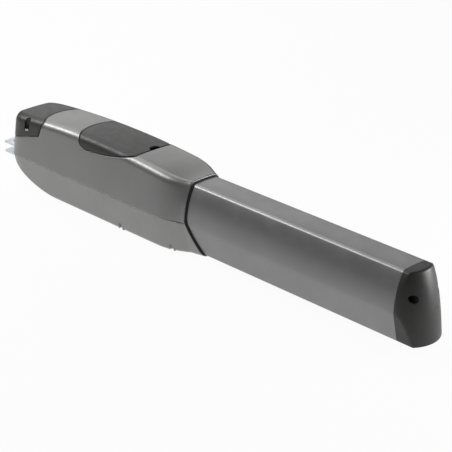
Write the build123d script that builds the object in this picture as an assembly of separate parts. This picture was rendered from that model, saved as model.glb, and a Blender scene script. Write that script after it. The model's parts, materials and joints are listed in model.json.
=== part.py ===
from build123d import *
import os
from math import atan2, cos, degrees, pi, radians, sin, sqrt

os.makedirs("parts", exist_ok=True)

# A swing gate opener: a moulded housing with the gearmotor at its rear end, and a slotted beam
# in which a screw drives a carriage that pushes the gate. +X runs from the rear fork to the
# front cap, +Z is up, and the origin is on the axis of the fork's middle fixing bolt, halfway
# between its two plates. Millimetres.

# Driving dimensions of the beam, an extruded section with a crease along each side
beam_height = 104.0
beam_bottom_z = -37.5
crease_height = 43.8
beam_crease_half = 39.5
beam_bottom_half = 29.9
beam_corner_radius = 8.0
beam_crown_radius = 250.0
beam_facet_radius = 115.0
beam_wall = 3.0
beam_rear_x = 418.0
beam_front_x = 843.6
slot_width = 24.0

# Driving dimensions of the housing
housing_rear_x = 22.0
collar_x = 438.5
chin_reach = 31.5
housing_half = 54.5
housing_bottom_z = -50.5
crown_x = 222.0
crown_z = 84.2
crown_sweep_radius = 1800.0
shoulder_radius = 15.0
housing_crown_radius = 620.0
housing_lean = 0.141
sill_radius = 9.0
housing_wall = 3.0
nose_length = 70.0
nose_rise_length = 18.0
nose_power = 5.0
nose_level_z = 20.0
tail_curve_x = 130.0
tail_curve_radius = 146.0
neck_length = 70.0
neck_power = 2.3
belly_rise_x = 385.0
belly_power = 1.3
shell_seam = 0.5
lip = 2.0
gasket_thickness = 1.4
gasket_show = 3.0
panel_gap = 1.3
skin = 2.6
rear_cap_front_x = 107.0
rear_cap_front_lean = 0.333
rear_cap_lean_z = 76.6
rear_cap_bow = 15.5
rear_cap_bow_half = 40.0
rear_cap_edge_z = 27.0
rear_cap_slope = 0.26
screw_well_radius = 6.0
rear_well_radius = 4.5
rear_well_x = 69.0
rear_well_floor_z = 54.0
front_well_x = 406.3
middle_well_x = 292.6
well_inset = 15.6
well_depth = 32.0

# Driving dimensions of the rear fork and its pivot
plate_thickness = 4.0
fork_gap = 12.0
fork_half = 31.5
fork_tip_x = -14.5
fork_eye_radius = 17.0
pivot_x = 51.0
pivot_radius = 6.0
wall_bolt_radius = 5.25
fixing_spacing = 38.0
fixing_radius = 4.3
mouth_half = 40.0
mouth_height = 27.0
slide_play = 0.1
running_play = 0.05

# Driving dimensions of the drive
motor_z = 16.0
motor_radius = 32.0
motor_rear_x = 104.0
motor_length = 124.0
gear_module = 1.0
pinion_teeth = 12
gear_teeth = 44
gear_width = 12.0
tooth_backlash = 0.16
screw_radius = 8.0
screw_front_x = 832.0
shaft_radius = 6.0
spline_across = 13.0
dog_height = 3.4
throw_radius = 3.0
throw_pin_radius = 2.0
sleeve_end_play = 0.8

# Driving dimensions of the carriage and its travel
carriage_rear_x = 478.0
carriage_length = 56.0
carriage_travel = 280.0
carriage_bore_radius = 6.0
bush_length = 20.0
lug_drop = 10.0
stop_length = 12.0

# Driving dimensions of the release under the top cover
cover_front_x = 324.6
cover_rear_x = 186.6
cover_bow_radius = 78.0
cover_shoulder_half = 35.5
wing_rear_x = 198.0
wing_bottom_z = 62.8
wing_corner_radius = 18.0
wing_sag = 4.6
thumb_radius = 9.5
thumb_y = 5.0
cover_axis_x = 211.0
cover_axis_depth = 7.3
cover_pin_radius = 2.0
wing_relief_radius = 17.5
wing_relief_half = 37.0
well_floor_z = 57.5
lever_reach = 27.0
lock_x = 315.5
lock_radius = 6.0

lever_height = 12.0
release_radius = 5.6
shaft_boss_radius = 8.0
lock_height = 13.0
rotor_radius = 4.0
cover_lug_y = 22.0
lug_thick = 4.0
lug_radius = 4.0
grommet_x = 160.0
grommet_radius = 9.0

# Driving dimensions of the front cap
front_cap_reach = 39.5
front_cap_low_radius = 47.0
front_cap_top_radius = 35.0
front_cap_lean = 7.0
front_cap_bulge = 13.5
front_cap_edge_radius = 2.5
cap_screw_y = 25.5
cap_screw_z = 31.0
cap_well_radius = 5.5
cap_screw_depth = 5.0
pressure_angle = 20.0
stub_addendum = 0.75
stub_dedendum = 1.1

# Places worked out from the driving dimensions
seam_z = beam_bottom_z + crease_height
beam_top_z = beam_bottom_z + beam_height
lean_down = (beam_crease_half - beam_bottom_half) / crease_height
chin_x = collar_x + chin_reach
neck_half = beam_crease_half + gasket_thickness + lip
centre_distance = gear_module * (pinion_teeth + gear_teeth) / 2
screw_z = motor_z - centre_distance
cover_axis_z = crown_z - cover_axis_depth
motor_front_x = motor_rear_x + motor_length
gear_x = motor_front_x + 11.0
hub_front_x = gear_x + gear_width + 6.0
groove_width = 2 * throw_pin_radius + 0.6
sleeve_x = hub_front_x + dog_height + 0.4
sleeve_length = 22.0
sleeve_travel = throw_radius * sqrt(2)
groove_x = sleeve_x + sleeve_length / 2
groove_radius = 9.5
clutch_radius = 13.5
release_x = groove_x + throw_radius * sqrt(0.5)
release_low_z = screw_z + clutch_radius + 0.7
case_front_x = sleeve_x + sleeve_length + 16.0
carriage_front_x = carriage_rear_x + carriage_length
stop_front_x = carriage_front_x + carriage_travel + 0.5
bearing_plate_x = beam_front_x - 14.0


def circles_meet(a, a_radius, b, b_radius):
    """The upper right point where two circles cross."""
    apart = b - a
    reach = apart.length
    along = (a_radius**2 - b_radius**2 + reach**2) / (2 * reach)
    across = sqrt(a_radius**2 - along**2)
    side = Vector(-apart.Y, apart.X).normalized()
    if side.X < 0:
        side = side * -1
    return a + apart.normalized() * along + side * across


def section(x, half, top_z, bottom_z, top_radius, bottom_radius, crown_radius, facet_radius=None):
    """Closed outline across the axis at x: flat underside, two leaning facets a side, crowned top.

    The upper facet is straight, or with facet_radius an arc that stands upright at the crease.
    """
    crease = Vector(half, seam_z)
    crown = Vector(0, top_z - crown_radius)
    if facet_radius is None:
        up = Vector(-housing_lean, 1).normalized()
        up_in = Vector(-1, -housing_lean).normalized()
        foot = crease + up_in * top_radius - crown
        along = foot.dot(up)
        climb = -along + sqrt(along**2 - foot.dot(foot) + (crown_radius - top_radius) ** 2)
        shoulder = crown + foot + up * climb
        side_end = shoulder - up_in * top_radius
        facet_mid = (crease + side_end) * 0.5
    else:
        facet = Vector(half - facet_radius, seam_z)
        shoulder = circles_meet(crown, crown_radius - top_radius, facet, facet_radius - top_radius)
        side_end = facet + (shoulder - facet).normalized() * facet_radius
        facet_mid = facet + ((crease + side_end) * 0.5 - facet).normalized() * facet_radius
    down = Vector(-lean_down, -1).normalized()
    down_in = Vector(-1, lean_down).normalized()
    top_end = crown + (shoulder - crown).normalized() * crown_radius
    shoulder_mid = shoulder + ((side_end - shoulder) + (top_end - shoulder)).normalized() * top_radius
    sill_start = crease + down_in * bottom_radius
    drop = (bottom_z + bottom_radius - sill_start.Y) / down.Y
    sill = sill_start + down * drop
    sill_side = sill - down_in * bottom_radius
    sill_foot = Vector(sill.X, bottom_z)
    sill_mid = sill + ((sill_side - sill) + (sill_foot - sill)).normalized() * bottom_radius

    def right(p):
        return (x, p.X, p.Y)

    def left(p):
        return (x, -p.X, p.Y)

    def facet_edge(place):
        """The upper facet's edge, from the crease up."""
        if facet_radius is None:
            return Edge.make_line(place(crease), place(side_end))
        return Edge.make_three_point_arc(place(crease), place(facet_mid), place(side_end))

    top_mid = Vector(0, top_z)
    edges = [
        Edge.make_line(left(sill_foot), right(sill_foot)),
        Edge.make_three_point_arc(right(sill_foot), right(sill_mid), right(sill_side)),
        Edge.make_line(right(sill_side), right(crease)),
        facet_edge(right),
        Edge.make_three_point_arc(right(side_end), right(shoulder_mid), right(top_end)),
        Edge.make_three_point_arc(right(top_end), right(top_mid), left(top_end)),
        Edge.make_three_point_arc(left(top_end), left(shoulder_mid), left(side_end)),
        facet_edge(left),
        Edge.make_line(left(crease), left(sill_side)),
        Edge.make_three_point_arc(left(sill_side), left(sill_mid), left(sill_foot)),
    ]
    return Wire(edges)


def beam_section(x, grow):
    """The beam's outline, grown by an even amount all round."""
    return section(
        x,
        beam_crease_half + grow,
        beam_top_z + grow,
        beam_bottom_z - grow,
        max(beam_corner_radius + grow, 1.0),
        max(2.0 + grow, 0.6),
        beam_crown_radius + grow,
        beam_facet_radius + grow,
    )


def beam_bar(x0, x1, grow=0.0):
    """A solid bar of the beam's section between two stations."""
    return Solid.extrude(Face(beam_section(x0, grow)), (x1 - x0, 0, 0))


def rounded_end(x, length):
    """Share of full size at x for an end that rounds off like a squared ellipse."""
    t = min(max((housing_rear_x + length - x) / length, 0.0), 1.0)
    return (1.0 - t**nose_power) ** (1.0 / nose_power)


def neck(x):
    """0 behind the neck and 1 at the collar, where the housing has closed in on the beam."""
    return min(max((x - collar_x + neck_length) / neck_length, 0.0), 1.0) ** neck_power


def housing_half_at(x):
    return housing_half * rounded_end(x, nose_length) * (1 - neck(x)) + neck_half * neck(x)


def housing_top_at(x):
    arch = crown_z - (x - crown_x) ** 2 / (2 * crown_sweep_radius)
    collar_top = beam_top_z + gasket_thickness + lip
    full = arch * (1 - neck(x)) + collar_top * neck(x)
    return nose_level_z + (full - nose_level_z) * rounded_end(x, nose_rise_length)


def housing_bottom_at(x):
    back = max(tail_curve_x - x, 0.0)
    tail = tail_curve_radius - sqrt(tail_curve_radius**2 - back**2)
    ahead = min(max((x - belly_rise_x) / (chin_x - belly_rise_x), 0.0), 1.0)
    chin_z = beam_bottom_z - gasket_thickness - lip
    return housing_bottom_z + tail + (chin_z - housing_bottom_z) * ahead**belly_power


def housing_form(inset=0.0):
    """The housing's smooth outer body, or the same body drawn in by a wall's thickness."""
    x0 = housing_rear_x
    x1 = chin_x + 8.0
    nose_steps = [0.006, 0.018, 0.045, 0.09, 0.17, 0.32, 0.55, 0.85]
    middle_steps = [0.25, 0.36, 0.5, 0.64, 0.77]
    stations = [x0 + nose_length * s for s in nose_steps]
    stations += [x0 + (collar_x - x0) * s for s in middle_steps]
    stations += [collar_x - neck_length * s for s in (0.6, 0.35, 0.15, 0.0)]
    stations += [chin_x - 12.0, chin_x + 1.0, x1]
    wires = []
    for x in stations:
        drawn = x0 + inset + (x - x0) * (x1 - x0 - 2 * inset) / (x1 - x0)
        bottom = housing_bottom_at(x) + inset
        wires.append(
            section(
                drawn,
                housing_half_at(x) - inset,
                housing_top_at(x) - inset,
                bottom,
                max(shoulder_radius * rounded_end(x, nose_rise_length) - inset, 1.5),
                max(min(sill_radius, 0.6 * (seam_z - bottom)) - inset, 1.0),
                housing_crown_radius,
            )
        )
    return Solid.make_loft(wires)


def slab(outline, y0, y1):
    """A side-view outline in X and Z, made solid between two Y values."""
    face = Face(outline)
    return Solid.extrude(face.moved(Location((0, y0, 0))), (0, y1 - y0, 0))


def column(outline, z0, z1):
    """A plan outline in X and Y, made solid between two Z values."""
    return Solid.extrude(Face(outline).moved(Location((0, 0, z0))), (0, 0, z1 - z0))


def flat_box(x0, x1, y0, y1, z0, z1):
    return Solid.make_box(x1 - x0, y1 - y0, z1 - z0, Plane((x0, y0, z0)))


def rod(start, direction, radius, length):
    return Solid.make_cylinder(radius, length, Plane(origin=start, z_dir=direction))


def save(name, *solids):
    """Writes one node; several pieces stay separate solids in it."""
    whole = solids[0] if len(solids) == 1 else Compound(children=list(solids))
    export_step(whole, f"parts/{name}.step")
    print(name, round(whole.volume))


def side_polyline(points):
    """A closed straight-sided outline in the side view."""
    return Wire.make_polygon([(x, 0, z) for x, z in points], close=True)


def behind_front_edge(shift=0.0):
    """Everything behind the housing's front edge, which sweeps forward below the crease."""
    top, low = 200.0, -200.0
    edge = [
        Edge.make_line((-100, 0, low), (chin_x + shift, 0, low)),
        Edge.make_line((chin_x + shift, 0, low), (chin_x + shift, 0, beam_bottom_z - 2.5)),
        Edge.make_three_point_arc(
            (chin_x + shift, 0, beam_bottom_z - 2.5),
            (collar_x + shift + 0.33 * chin_reach, 0, seam_z - 0.42 * crease_height),
            (collar_x + shift, 0, seam_z + 6.0),
        ),
        Edge.make_line((collar_x + shift, 0, seam_z + 6.0), (collar_x + shift, 0, top)),
        Edge.make_line((collar_x + shift, 0, top), (-100, 0, top)),
        Edge.make_line((-100, 0, top), (-100, 0, low)),
    ]
    return slab(Wire(edge), -100, 100)


def cap_region(grow=0.0):
    """The part of the housing that the rear cap covers, grown by a gap when it is cut away."""
    front = rear_cap_front_x + grow
    bowed = front - rear_cap_bow
    plan = Wire(
        [
            Edge.make_line((0, -80, 0), (front, -80, 0)),
            Edge.make_line((front, -80, 0), (front, -rear_cap_bow_half, 0)),
            Edge.make_three_point_arc(
                (front, -rear_cap_bow_half, 0), (bowed, 0, 0), (front, rear_cap_bow_half, 0)
            ),
            Edge.make_line((front, rear_cap_bow_half, 0), (front, 80, 0)),
            Edge.make_line((front, 80, 0), (0, 80, 0)),
            Edge.make_line((0, 80, 0), (0, -80, 0)),
        ]
    )
    low = rear_cap_edge_z - grow
    level = front - rear_cap_front_lean * (rear_cap_lean_z - low)
    corner = level / (1 - rear_cap_front_lean * rear_cap_slope)
    side = side_polyline(
        [(0, low), (corner, low + corner * rear_cap_slope), (front, rear_cap_lean_z), (front, 200), (0, 200)]
    )
    return column(plan, -100, 200) & slab(side, -100, 100)


def cover_region(grow=0.0):
    """The part of the housing that the release cover stands for, with its two side wings."""
    bow = cover_bow_radius + grow
    centre_x = cover_rear_x + cover_bow_radius
    reach = 70.0
    rear = centre_x - sqrt(bow**2 - reach**2)
    front = cover_front_x + grow
    plan = Wire(
        [
            Edge.make_three_point_arc((rear, reach, 0), (centre_x - bow, 0, 0), (rear, -reach, 0)),
            Edge.make_line((rear, -reach, 0), (front, -reach, 0)),
            Edge.make_line((front, -reach, 0), (front, reach, 0)),
            Edge.make_line((front, reach, 0), (rear, reach, 0)),
        ]
    )
    r = wing_corner_radius + grow
    x0 = wing_rear_x - grow
    z0 = wing_bottom_z - grow
    corner = (x0 + r, 0, z0 + r)
    lift = 1 - sqrt(0.5)
    tip = (cover_front_x + 12.0, crown_z + 0.5 - grow)
    side = Wire(
        [
            Edge.make_line((x0, 0, 200), (x0, 0, corner[2])),
            Edge.make_three_point_arc(
                (x0, 0, corner[2]), (x0 + r * lift, 0, z0 + r * lift), (corner[0], 0, z0)
            ),
            Edge.make_three_point_arc(
                (corner[0], 0, z0),
                ((corner[0] + tip[0]) / 2, 0, (z0 + tip[1]) / 2 - wing_sag),
                (tip[0], 0, tip[1]),
            ),
            Edge.make_line((tip[0], 0, tip[1]), (tip[0], 0, 200)),
            Edge.make_line((tip[0], 0, 200), (x0, 0, 200)),
        ]
    )
    wings = slab(side, -100, 100)
    crown_low = crown_z - 10.0 - grow
    rear_half = cover_shoulder_half + 6.5
    rear_crown = flat_box(0, corner[0], -rear_half, rear_half, crown_low, 200)
    crown = flat_box(0, front, -cover_shoulder_half, cover_shoulder_half, crown_low, 200)
    return column(plan, -100, 200) & (wings + rear_crown + crown)


def gear_outline(teeth, module, thickness_share, bore_z, turn):
    """Spur gear outline in Y and Z: involute flanks, radial below the base circle, stub teeth."""
    pitch = module * teeth / 2
    base = pitch * cos(radians(pressure_angle))
    tip = pitch + stub_addendum * module
    root = pitch - stub_dedendum * module

    def roll(radius):
        if radius <= base:
            return 0.0
        angle = sqrt((radius / base) ** 2 - 1)
        return angle - atan2(angle, 1)

    half_tooth = pi / (2 * teeth) * thickness_share - tooth_backlash / (4 * pitch) + roll(pitch)
    steps = [root] + [max(base, root) + (tip - max(base, root)) * k / 3 for k in range(4)]
    points = []
    for tooth in range(teeth):
        middle = turn + 2 * pi * tooth / teeth
        flank = [(radius, half_tooth - roll(radius)) for radius in steps]
        for radius, away in flank:
            points.append((radius, middle - away))
        for radius, away in reversed(flank):
            points.append((radius, middle + away))
    return [(0, r * cos(a), bore_z + r * sin(a)) for r, a in points]


def along_x(outline_points, x0, length):
    face = Face(Wire.make_polygon(outline_points, close=True))
    return Solid.extrude(face.moved(Location((x0, 0, 0))), (length, 0, 0))


def tube_x(x0, length, outer_radius, bore_radius, z, y=0.0):
    body = rod((x0, y, z), (1, 0, 0), outer_radius, length)
    if bore_radius > 0:
        body -= rod((x0 - 1, y, z), (1, 0, 0), bore_radius, length + 2)
    return body


def tube_z(x, y, z0, height, outer_radius, bore_radius):
    body = rod((x, y, z0), (0, 0, 1), outer_radius, height)
    if bore_radius > 0:
        body -= rod((x, y, z0 - 1), (0, 0, 1), bore_radius, height + 2)
    return body


def both_sides(make):
    """The near and far copies of something that takes +1 or -1 for its side."""
    return [make(-1), make(1)]


def only(shape):
    """The largest solid of a result, which drops slivers that a cut leaves behind."""
    return max(shape.solids(), key=lambda solid: solid.volume)


outer = housing_form() & flat_box(0, 600, -100, 100, housing_bottom_z, 200)
inner = housing_form(housing_wall)
covered = housing_form(housing_wall + 0.4)
sleeve = beam_bar(collar_x - 14.0, chin_x + 20.0, gasket_thickness + 0.1)
front_end = behind_front_edge()
mouth = flat_box(0, 60.0, -mouth_half, mouth_half, -mouth_height / 2, mouth_height / 2)
shell = ((outer - inner) & front_end) - sleeve - mouth
panel_skin = outer - housing_form(skin)


def well_y(x, side):
    """Screws of the two shells stand a fixed step in from the housing's widest line."""
    return side * (housing_half_at(x) - well_inset)


shell_screw_places = [(x, well_y(x, s)) for x in (middle_well_x, front_well_x) for s in (-1, 1)]
well_top_z = housing_bottom_z + well_depth


def rear_well_y(side):
    lean = housing_lean * (rear_well_floor_z + 6.0 - seam_z)
    return side * (housing_half_at(rear_well_x) - lean - 1.5)


def screw_pillar(x, y, z0, z1):
    """A moulded pillar that stands against the nearest side wall."""
    pillar = rod((x, y, z0), (0, 0, 1), screw_well_radius + 1.6, z1 - z0)
    side = 1 if y > 0 else -1
    web = Solid.make_box(3.0, 30.0, z1 - z0, Plane((x - 1.5, min(y, y + side * 30.0), z0)))
    return pillar + web


def upper_shell():
    body = shell & flat_box(-50, 600, -100, 100, seam_z + shell_seam / 2, 200)
    for x, y in shell_screw_places:
        pillar = screw_pillar(x, y, seam_z + shell_seam / 2, seam_z + 18.0) & outer
        body += pillar - rod((x, y, 0), (0, 0, 1), 1.7, seam_z + 14.0)
    for side in (-1, 1):
        y = rear_well_y(side)
        z0 = rear_well_floor_z - housing_wall - 12.0
        pillar = screw_pillar(rear_well_x, y, z0, rear_well_floor_z - housing_wall) & covered
        body += pillar
        body -= rod((rear_well_x, y, z0 - 1), (0, 0, 1), 1.7, 20.0)
    body -= cap_region(panel_gap)
    body -= cover_region(panel_gap)
    return only(body)


def lower_shell():
    body = shell & flat_box(-50, 600, -100, 100, -200, seam_z - shell_seam / 2)
    for x, y in shell_screw_places:
        z1 = seam_z - shell_seam / 2
        body += screw_pillar(x, y, housing_bottom_z, z1) & outer
    for x, y in shell_screw_places:
        body -= rod((x, y, housing_bottom_z - 1), (0, 0, 1), screw_well_radius, well_depth + 1)
        body -= rod((x, y, 0 - 30), (0, 0, 1), 2.1, 60)
    body -= rod((grommet_x, 0, -100), (0, 0, 1), grommet_radius, 100)
    return only(body - sleeve)


def shell_screws():
    screws = []
    for x, y in shell_screw_places:
        head = rod((x, y, well_top_z - 3.0), (0, 0, 1), 3.9, 3.0)
        screws.append(head + rod((x, y, well_top_z), (0, 0, 1), 1.65, seam_z + 12.0 - well_top_z))
    return screws


def rear_cap():
    body = panel_skin & cap_region()
    body -= mouth
    for side in (-1, 1):
        y = rear_well_y(side)
        cup = rod((rear_well_x, y, rear_well_floor_z - 2.6), (0, 0, 1), rear_well_radius + 1.8, 40)
        body += cup & outer & cap_region()
    for side in (-1, 1):
        y = rear_well_y(side)
        body -= rod((rear_well_x, y, rear_well_floor_z), (0, 0, 1), rear_well_radius, 60)
        body -= rod((rear_well_x, y, rear_well_floor_z - 20), (0, 0, 1), 2.1, 40)
    return only(body)


def rear_cap_screws():
    def screw(side):
        y = rear_well_y(side)
        head = rod((rear_well_x, y, rear_well_floor_z), (0, 0, 1), 3.7, 2.8)
        return head + rod((rear_well_x, y, rear_well_floor_z - 12), (0, 0, 1), 1.6, 12)
    return both_sides(screw)


def release_cover():
    body = panel_skin & cover_region()
    body -= rod((cover_front_x, thumb_y, 0), (0, 0, 1), thumb_radius, 200)
    for side in (-1, 1):
        y0 = min(side * cover_lug_y, side * (cover_lug_y - lug_thick))
        lug = rod((cover_axis_x, y0, cover_axis_z), (0, 1, 0), lug_radius, lug_thick)
        lug += flat_box(
            cover_axis_x - 3.0, cover_axis_x + lug_radius, y0, y0 + lug_thick,
            cover_axis_z, cover_axis_z + cover_axis_depth,
        ) & outer
        body += lug
    body -= rod((cover_axis_x, -60, cover_axis_z), (0, 1, 0), cover_pin_radius + running_play, 120)
    return only(body)


def cover_hinge_pin():
    length = 2 * (cover_lug_y + 0.5 + lug_thick)
    return rod((cover_axis_x, -length / 2, cover_axis_z), (0, 1, 0), cover_pin_radius, length)


def release_well():
    """The tub under the cover, with ears for the hinge pin and a boss for the release shaft."""
    rear = cover_rear_x - 4.6
    front = cover_front_x + 4.2
    wall = 2.4
    low = well_floor_z - 3.0
    body = housing_form(housing_wall + 0.2) & flat_box(rear, front, -80, 80, low, 200)
    hollow = flat_box(rear + wall, front - wall, -80, 80, well_floor_z, 200)
    body -= housing_form(housing_wall + 0.2 + wall) & hollow
    body -= flat_box(rear + wall, front - wall, -cover_shoulder_half, cover_shoulder_half, 70, 200)
    body -= flat_box(rear - 1, front + 1, -80, 80, crown_z - 10.0, 200)
    relief = rod((cover_axis_x, -80, cover_axis_z), (0, 1, 0), wing_relief_radius, 160)
    relief -= flat_box(0, 900, -wing_relief_half, wing_relief_half, -100, 200)
    body = only(body - relief)
    for side in (-1, 1):
        y0 = min(side * (cover_lug_y + 0.5), side * (cover_lug_y + 0.5 + lug_thick))
        ear = rod((cover_axis_x, y0, cover_axis_z), (0, 1, 0), lug_radius, lug_thick)
        ear += flat_box(
            cover_axis_x - lug_radius, cover_axis_x + lug_radius, y0, y0 + lug_thick,
            low, cover_axis_z,
        )
        body += ear - rod((cover_axis_x, -60, cover_axis_z), (0, 1, 0), cover_pin_radius, 120)
    body += rod((release_x, 0, low - 5.0), (0, 0, 1), shaft_boss_radius, 5.0)
    body -= rod((release_x, 0, 0), (0, 0, 1), release_radius + running_play, 100)
    body -= rod((lock_x, thumb_y, 0), (0, 0, 1), lock_radius, 100)
    return only(body)


def release_shaft():
    top = well_floor_z + lever_height
    body = rod((release_x, 0, release_low_z), (0, 0, 1), release_radius, top - release_low_z)
    throw = throw_radius * sqrt(0.5)
    pin_low = screw_z + groove_radius + 0.7
    pin_length = release_low_z + 1.0 - pin_low
    pin = rod((release_x - throw, throw, pin_low), (0, 0, 1), throw_pin_radius, pin_length)
    return body + pin


def release_lever():
    z0 = well_floor_z + 1.0
    hub = rod((release_x, 0, z0), (0, 0, 1), 8.5, lever_height - 1.0)
    arm = flat_box(release_x, release_x + lever_reach, -4.0, 4.0, z0 + 1.5, z0 + 6.5)
    knob = rod((release_x + lever_reach, 0, z0 + 1.5), (0, 0, 1), 5.5, lever_height - 3.0)
    body = hub + arm + knob
    body = fillet(body.edges().filter_by(GeomType.CIRCLE).group_by(Axis.Z)[-1], 1.0)
    return only(body - rod((release_x, 0, 0), (0, 0, 1), release_radius, 200))


def lock_body():
    body = tube_z(lock_x, thumb_y, well_floor_z - 8.0, lock_height + 8.0, lock_radius, 0)
    flange = rod((lock_x, thumb_y, well_floor_z), (0, 0, 1), lock_radius + 1.2, 2.0)
    return body + flange - rod((lock_x, thumb_y, 0), (0, 0, 1), rotor_radius + running_play, 200)


def lock_rotor():
    low = well_floor_z - 12.0
    body = rod((lock_x, thumb_y, low), (0, 0, 1), rotor_radius, well_floor_z + lock_height - low - 0.6)
    key_slot = flat_box(lock_x - 3.0, lock_x + 3.0, thumb_y - 0.6, thumb_y + 0.6, well_floor_z + 2, 200)
    cam = flat_box(lock_x - 9.0, lock_x, thumb_y - 2.5, thumb_y + 2.5, low, low + 2.4)
    return only(body - key_slot + cam)


def beam():
    hollow = beam_bar(beam_rear_x - 1, beam_front_x + 1, -beam_wall)
    body = beam_bar(beam_rear_x, beam_front_x) - hollow
    half = slot_width / 2
    body -= flat_box(beam_rear_x - 1, beam_front_x + 1, -half, half, -100, beam_bottom_z + beam_wall + 1)
    return only(body)


def beam_gasket():
    x0 = collar_x - 10.0
    body = beam_bar(x0, chin_x + 20.0, gasket_thickness) - beam_bar(x0 - 1, chin_x + 21.0)
    return only(body & behind_front_edge(gasket_show))


def cap_front(inset):
    """The cap's nose: a wide round front that leans back towards the top."""
    wires = []
    for z, x, radius in front_cap_profile():
        reach = radius - inset
        centre = x - radius
        wires.append(
            Wire(
                [
                    Edge.make_three_point_arc(
                        (centre, -reach, z), (centre + reach, 0, z), (centre, reach, z)
                    ),
                    Edge.make_line((centre, reach, z), (beam_front_x - 40.0, reach, z)),
                    Edge.make_line((beam_front_x - 40.0, reach, z), (beam_front_x - 40.0, -reach, z)),
                    Edge.make_line((beam_front_x - 40.0, -reach, z), (centre, -reach, z)),
                ]
            )
        )
    return Solid.make_loft(wires)


def front_cap_profile():
    """Height, reach and plan radius of the nose, from just under the beam to just over it."""
    low = beam_bottom_z - 3.0
    high = beam_top_z + 3.0
    stations = []
    for k in range(6):
        share = k / 5
        fall = front_cap_lean * share + front_cap_bulge * share**3
        radius = front_cap_low_radius + (front_cap_top_radius - front_cap_low_radius) * share
        stations.append((low + (high - low) * share, beam_front_x + front_cap_reach - fall, radius))
    return stations


def front_cap():
    body = beam_bar(beam_front_x + 0.3, beam_front_x + 60.0) & cap_front(0.0)
    try_edges = [e for e in body.edges() if e.center().X > beam_front_x + 2.0]
    rounded = body.fillet(front_cap_edge_radius, [e for e in try_edges if e.length > 12.0])
    hollow = beam_bar(beam_front_x - 1, beam_front_x + 60.0, -beam_wall) & cap_front(beam_wall)
    rounded -= hollow
    for side in (-1, 1):
        y, z = side * cap_screw_y, cap_screw_z
        post = rod((beam_front_x + 0.3, y, z), (1, 0, 0), cap_well_radius + 1.8, 40)
        rounded += post & body & flat_box(0, 2000, -100, 100, -100, 100)
    for side in (-1, 1):
        y, z = side * cap_screw_y, cap_screw_z
        rounded -= rod((beam_front_x + cap_screw_depth, y, z), (1, 0, 0), cap_well_radius, 60)
        rounded -= rod((beam_front_x - 1, y, z), (1, 0, 0), 2.1, 60)
    return only(rounded)


def front_cap_screws():
    def screw(side):
        x0 = beam_front_x + cap_screw_depth
        head = rod((x0, side * cap_screw_y, cap_screw_z), (1, 0, 0), 3.6, 2.8)
        return head + rod((x0 - 12.0, side * cap_screw_y, cap_screw_z), (1, 0, 0), 1.9, 12.0)
    return both_sides(screw)


def fork_plate(low_z):
    """A plate of the rear fork: square at the wall end, drawn in round the pivot eye."""
    eye = fork_eye_radius
    outline = Wire(
        [
            Edge.make_line((fork_tip_x, -fork_half, 0), (pivot_x - 12.0, -fork_half, 0)),
            Edge.make_line((pivot_x - 12.0, -fork_half, 0), (pivot_x, -eye, 0)),
            Edge.make_three_point_arc((pivot_x, -eye, 0), (pivot_x + eye, 0, 0), (pivot_x, eye, 0)),
            Edge.make_line((pivot_x, eye, 0), (pivot_x - 12.0, fork_half, 0)),
            Edge.make_line((pivot_x - 12.0, fork_half, 0), (fork_tip_x, fork_half, 0)),
            Edge.make_line((fork_tip_x, fork_half, 0), (fork_tip_x, -fork_half, 0)),
        ]
    )
    plate = column(outline, low_z, low_z + plate_thickness)
    plate -= rod((pivot_x, 0, -50), (0, 0, 1), pivot_radius, 100)
    plate -= rod((0, 0, -50), (0, 0, 1), wall_bolt_radius, 100)
    for side in (-1, 1):
        plate -= rod((0, side * fixing_spacing / 2, -50), (0, 0, 1), fixing_radius, 100)
    return plate


def pivot_pin():
    half = fork_gap / 2 + plate_thickness
    head = rod((pivot_x, 0, half), (0, 0, 1), pivot_radius + 3.0, 3.5)
    return head + rod((pivot_x, 0, -half - 5.0), (0, 0, 1), pivot_radius, 2 * half + 5.0)


def pivot_clip():
    low = -fork_gap / 2 - plate_thickness - 1.6
    return tube_z(pivot_x, 0, low, 1.4, pivot_radius + 3.0, pivot_radius)


def pivot_bush():
    half = fork_gap / 2 - slide_play
    return tube_z(pivot_x, 0, -half, 2 * half, pivot_radius + 2.0, pivot_radius + running_play)


def case_outline(grow=0.0):
    """The gear case in the front view: round about both shafts, with straight sides between."""
    top = motor_radius + 2.0 + grow
    low = gear_module * gear_teeth / 2 + 7.0 + grow
    sides = [(top, motor_z), (low, screw_z)]
    wedge = [(0, -sides[0][0], motor_z), (0, -low, screw_z), (0, low, screw_z), (0, top, motor_z)]
    return top, low, wedge


def case_slice(x0, length, grow=0.0):
    top, low, wedge = case_outline(grow)
    body = tube_x(x0, length, top, 0, motor_z) + tube_x(x0, length, low, 0, screw_z)
    return body + along_x(wedge, x0, length)


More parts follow.
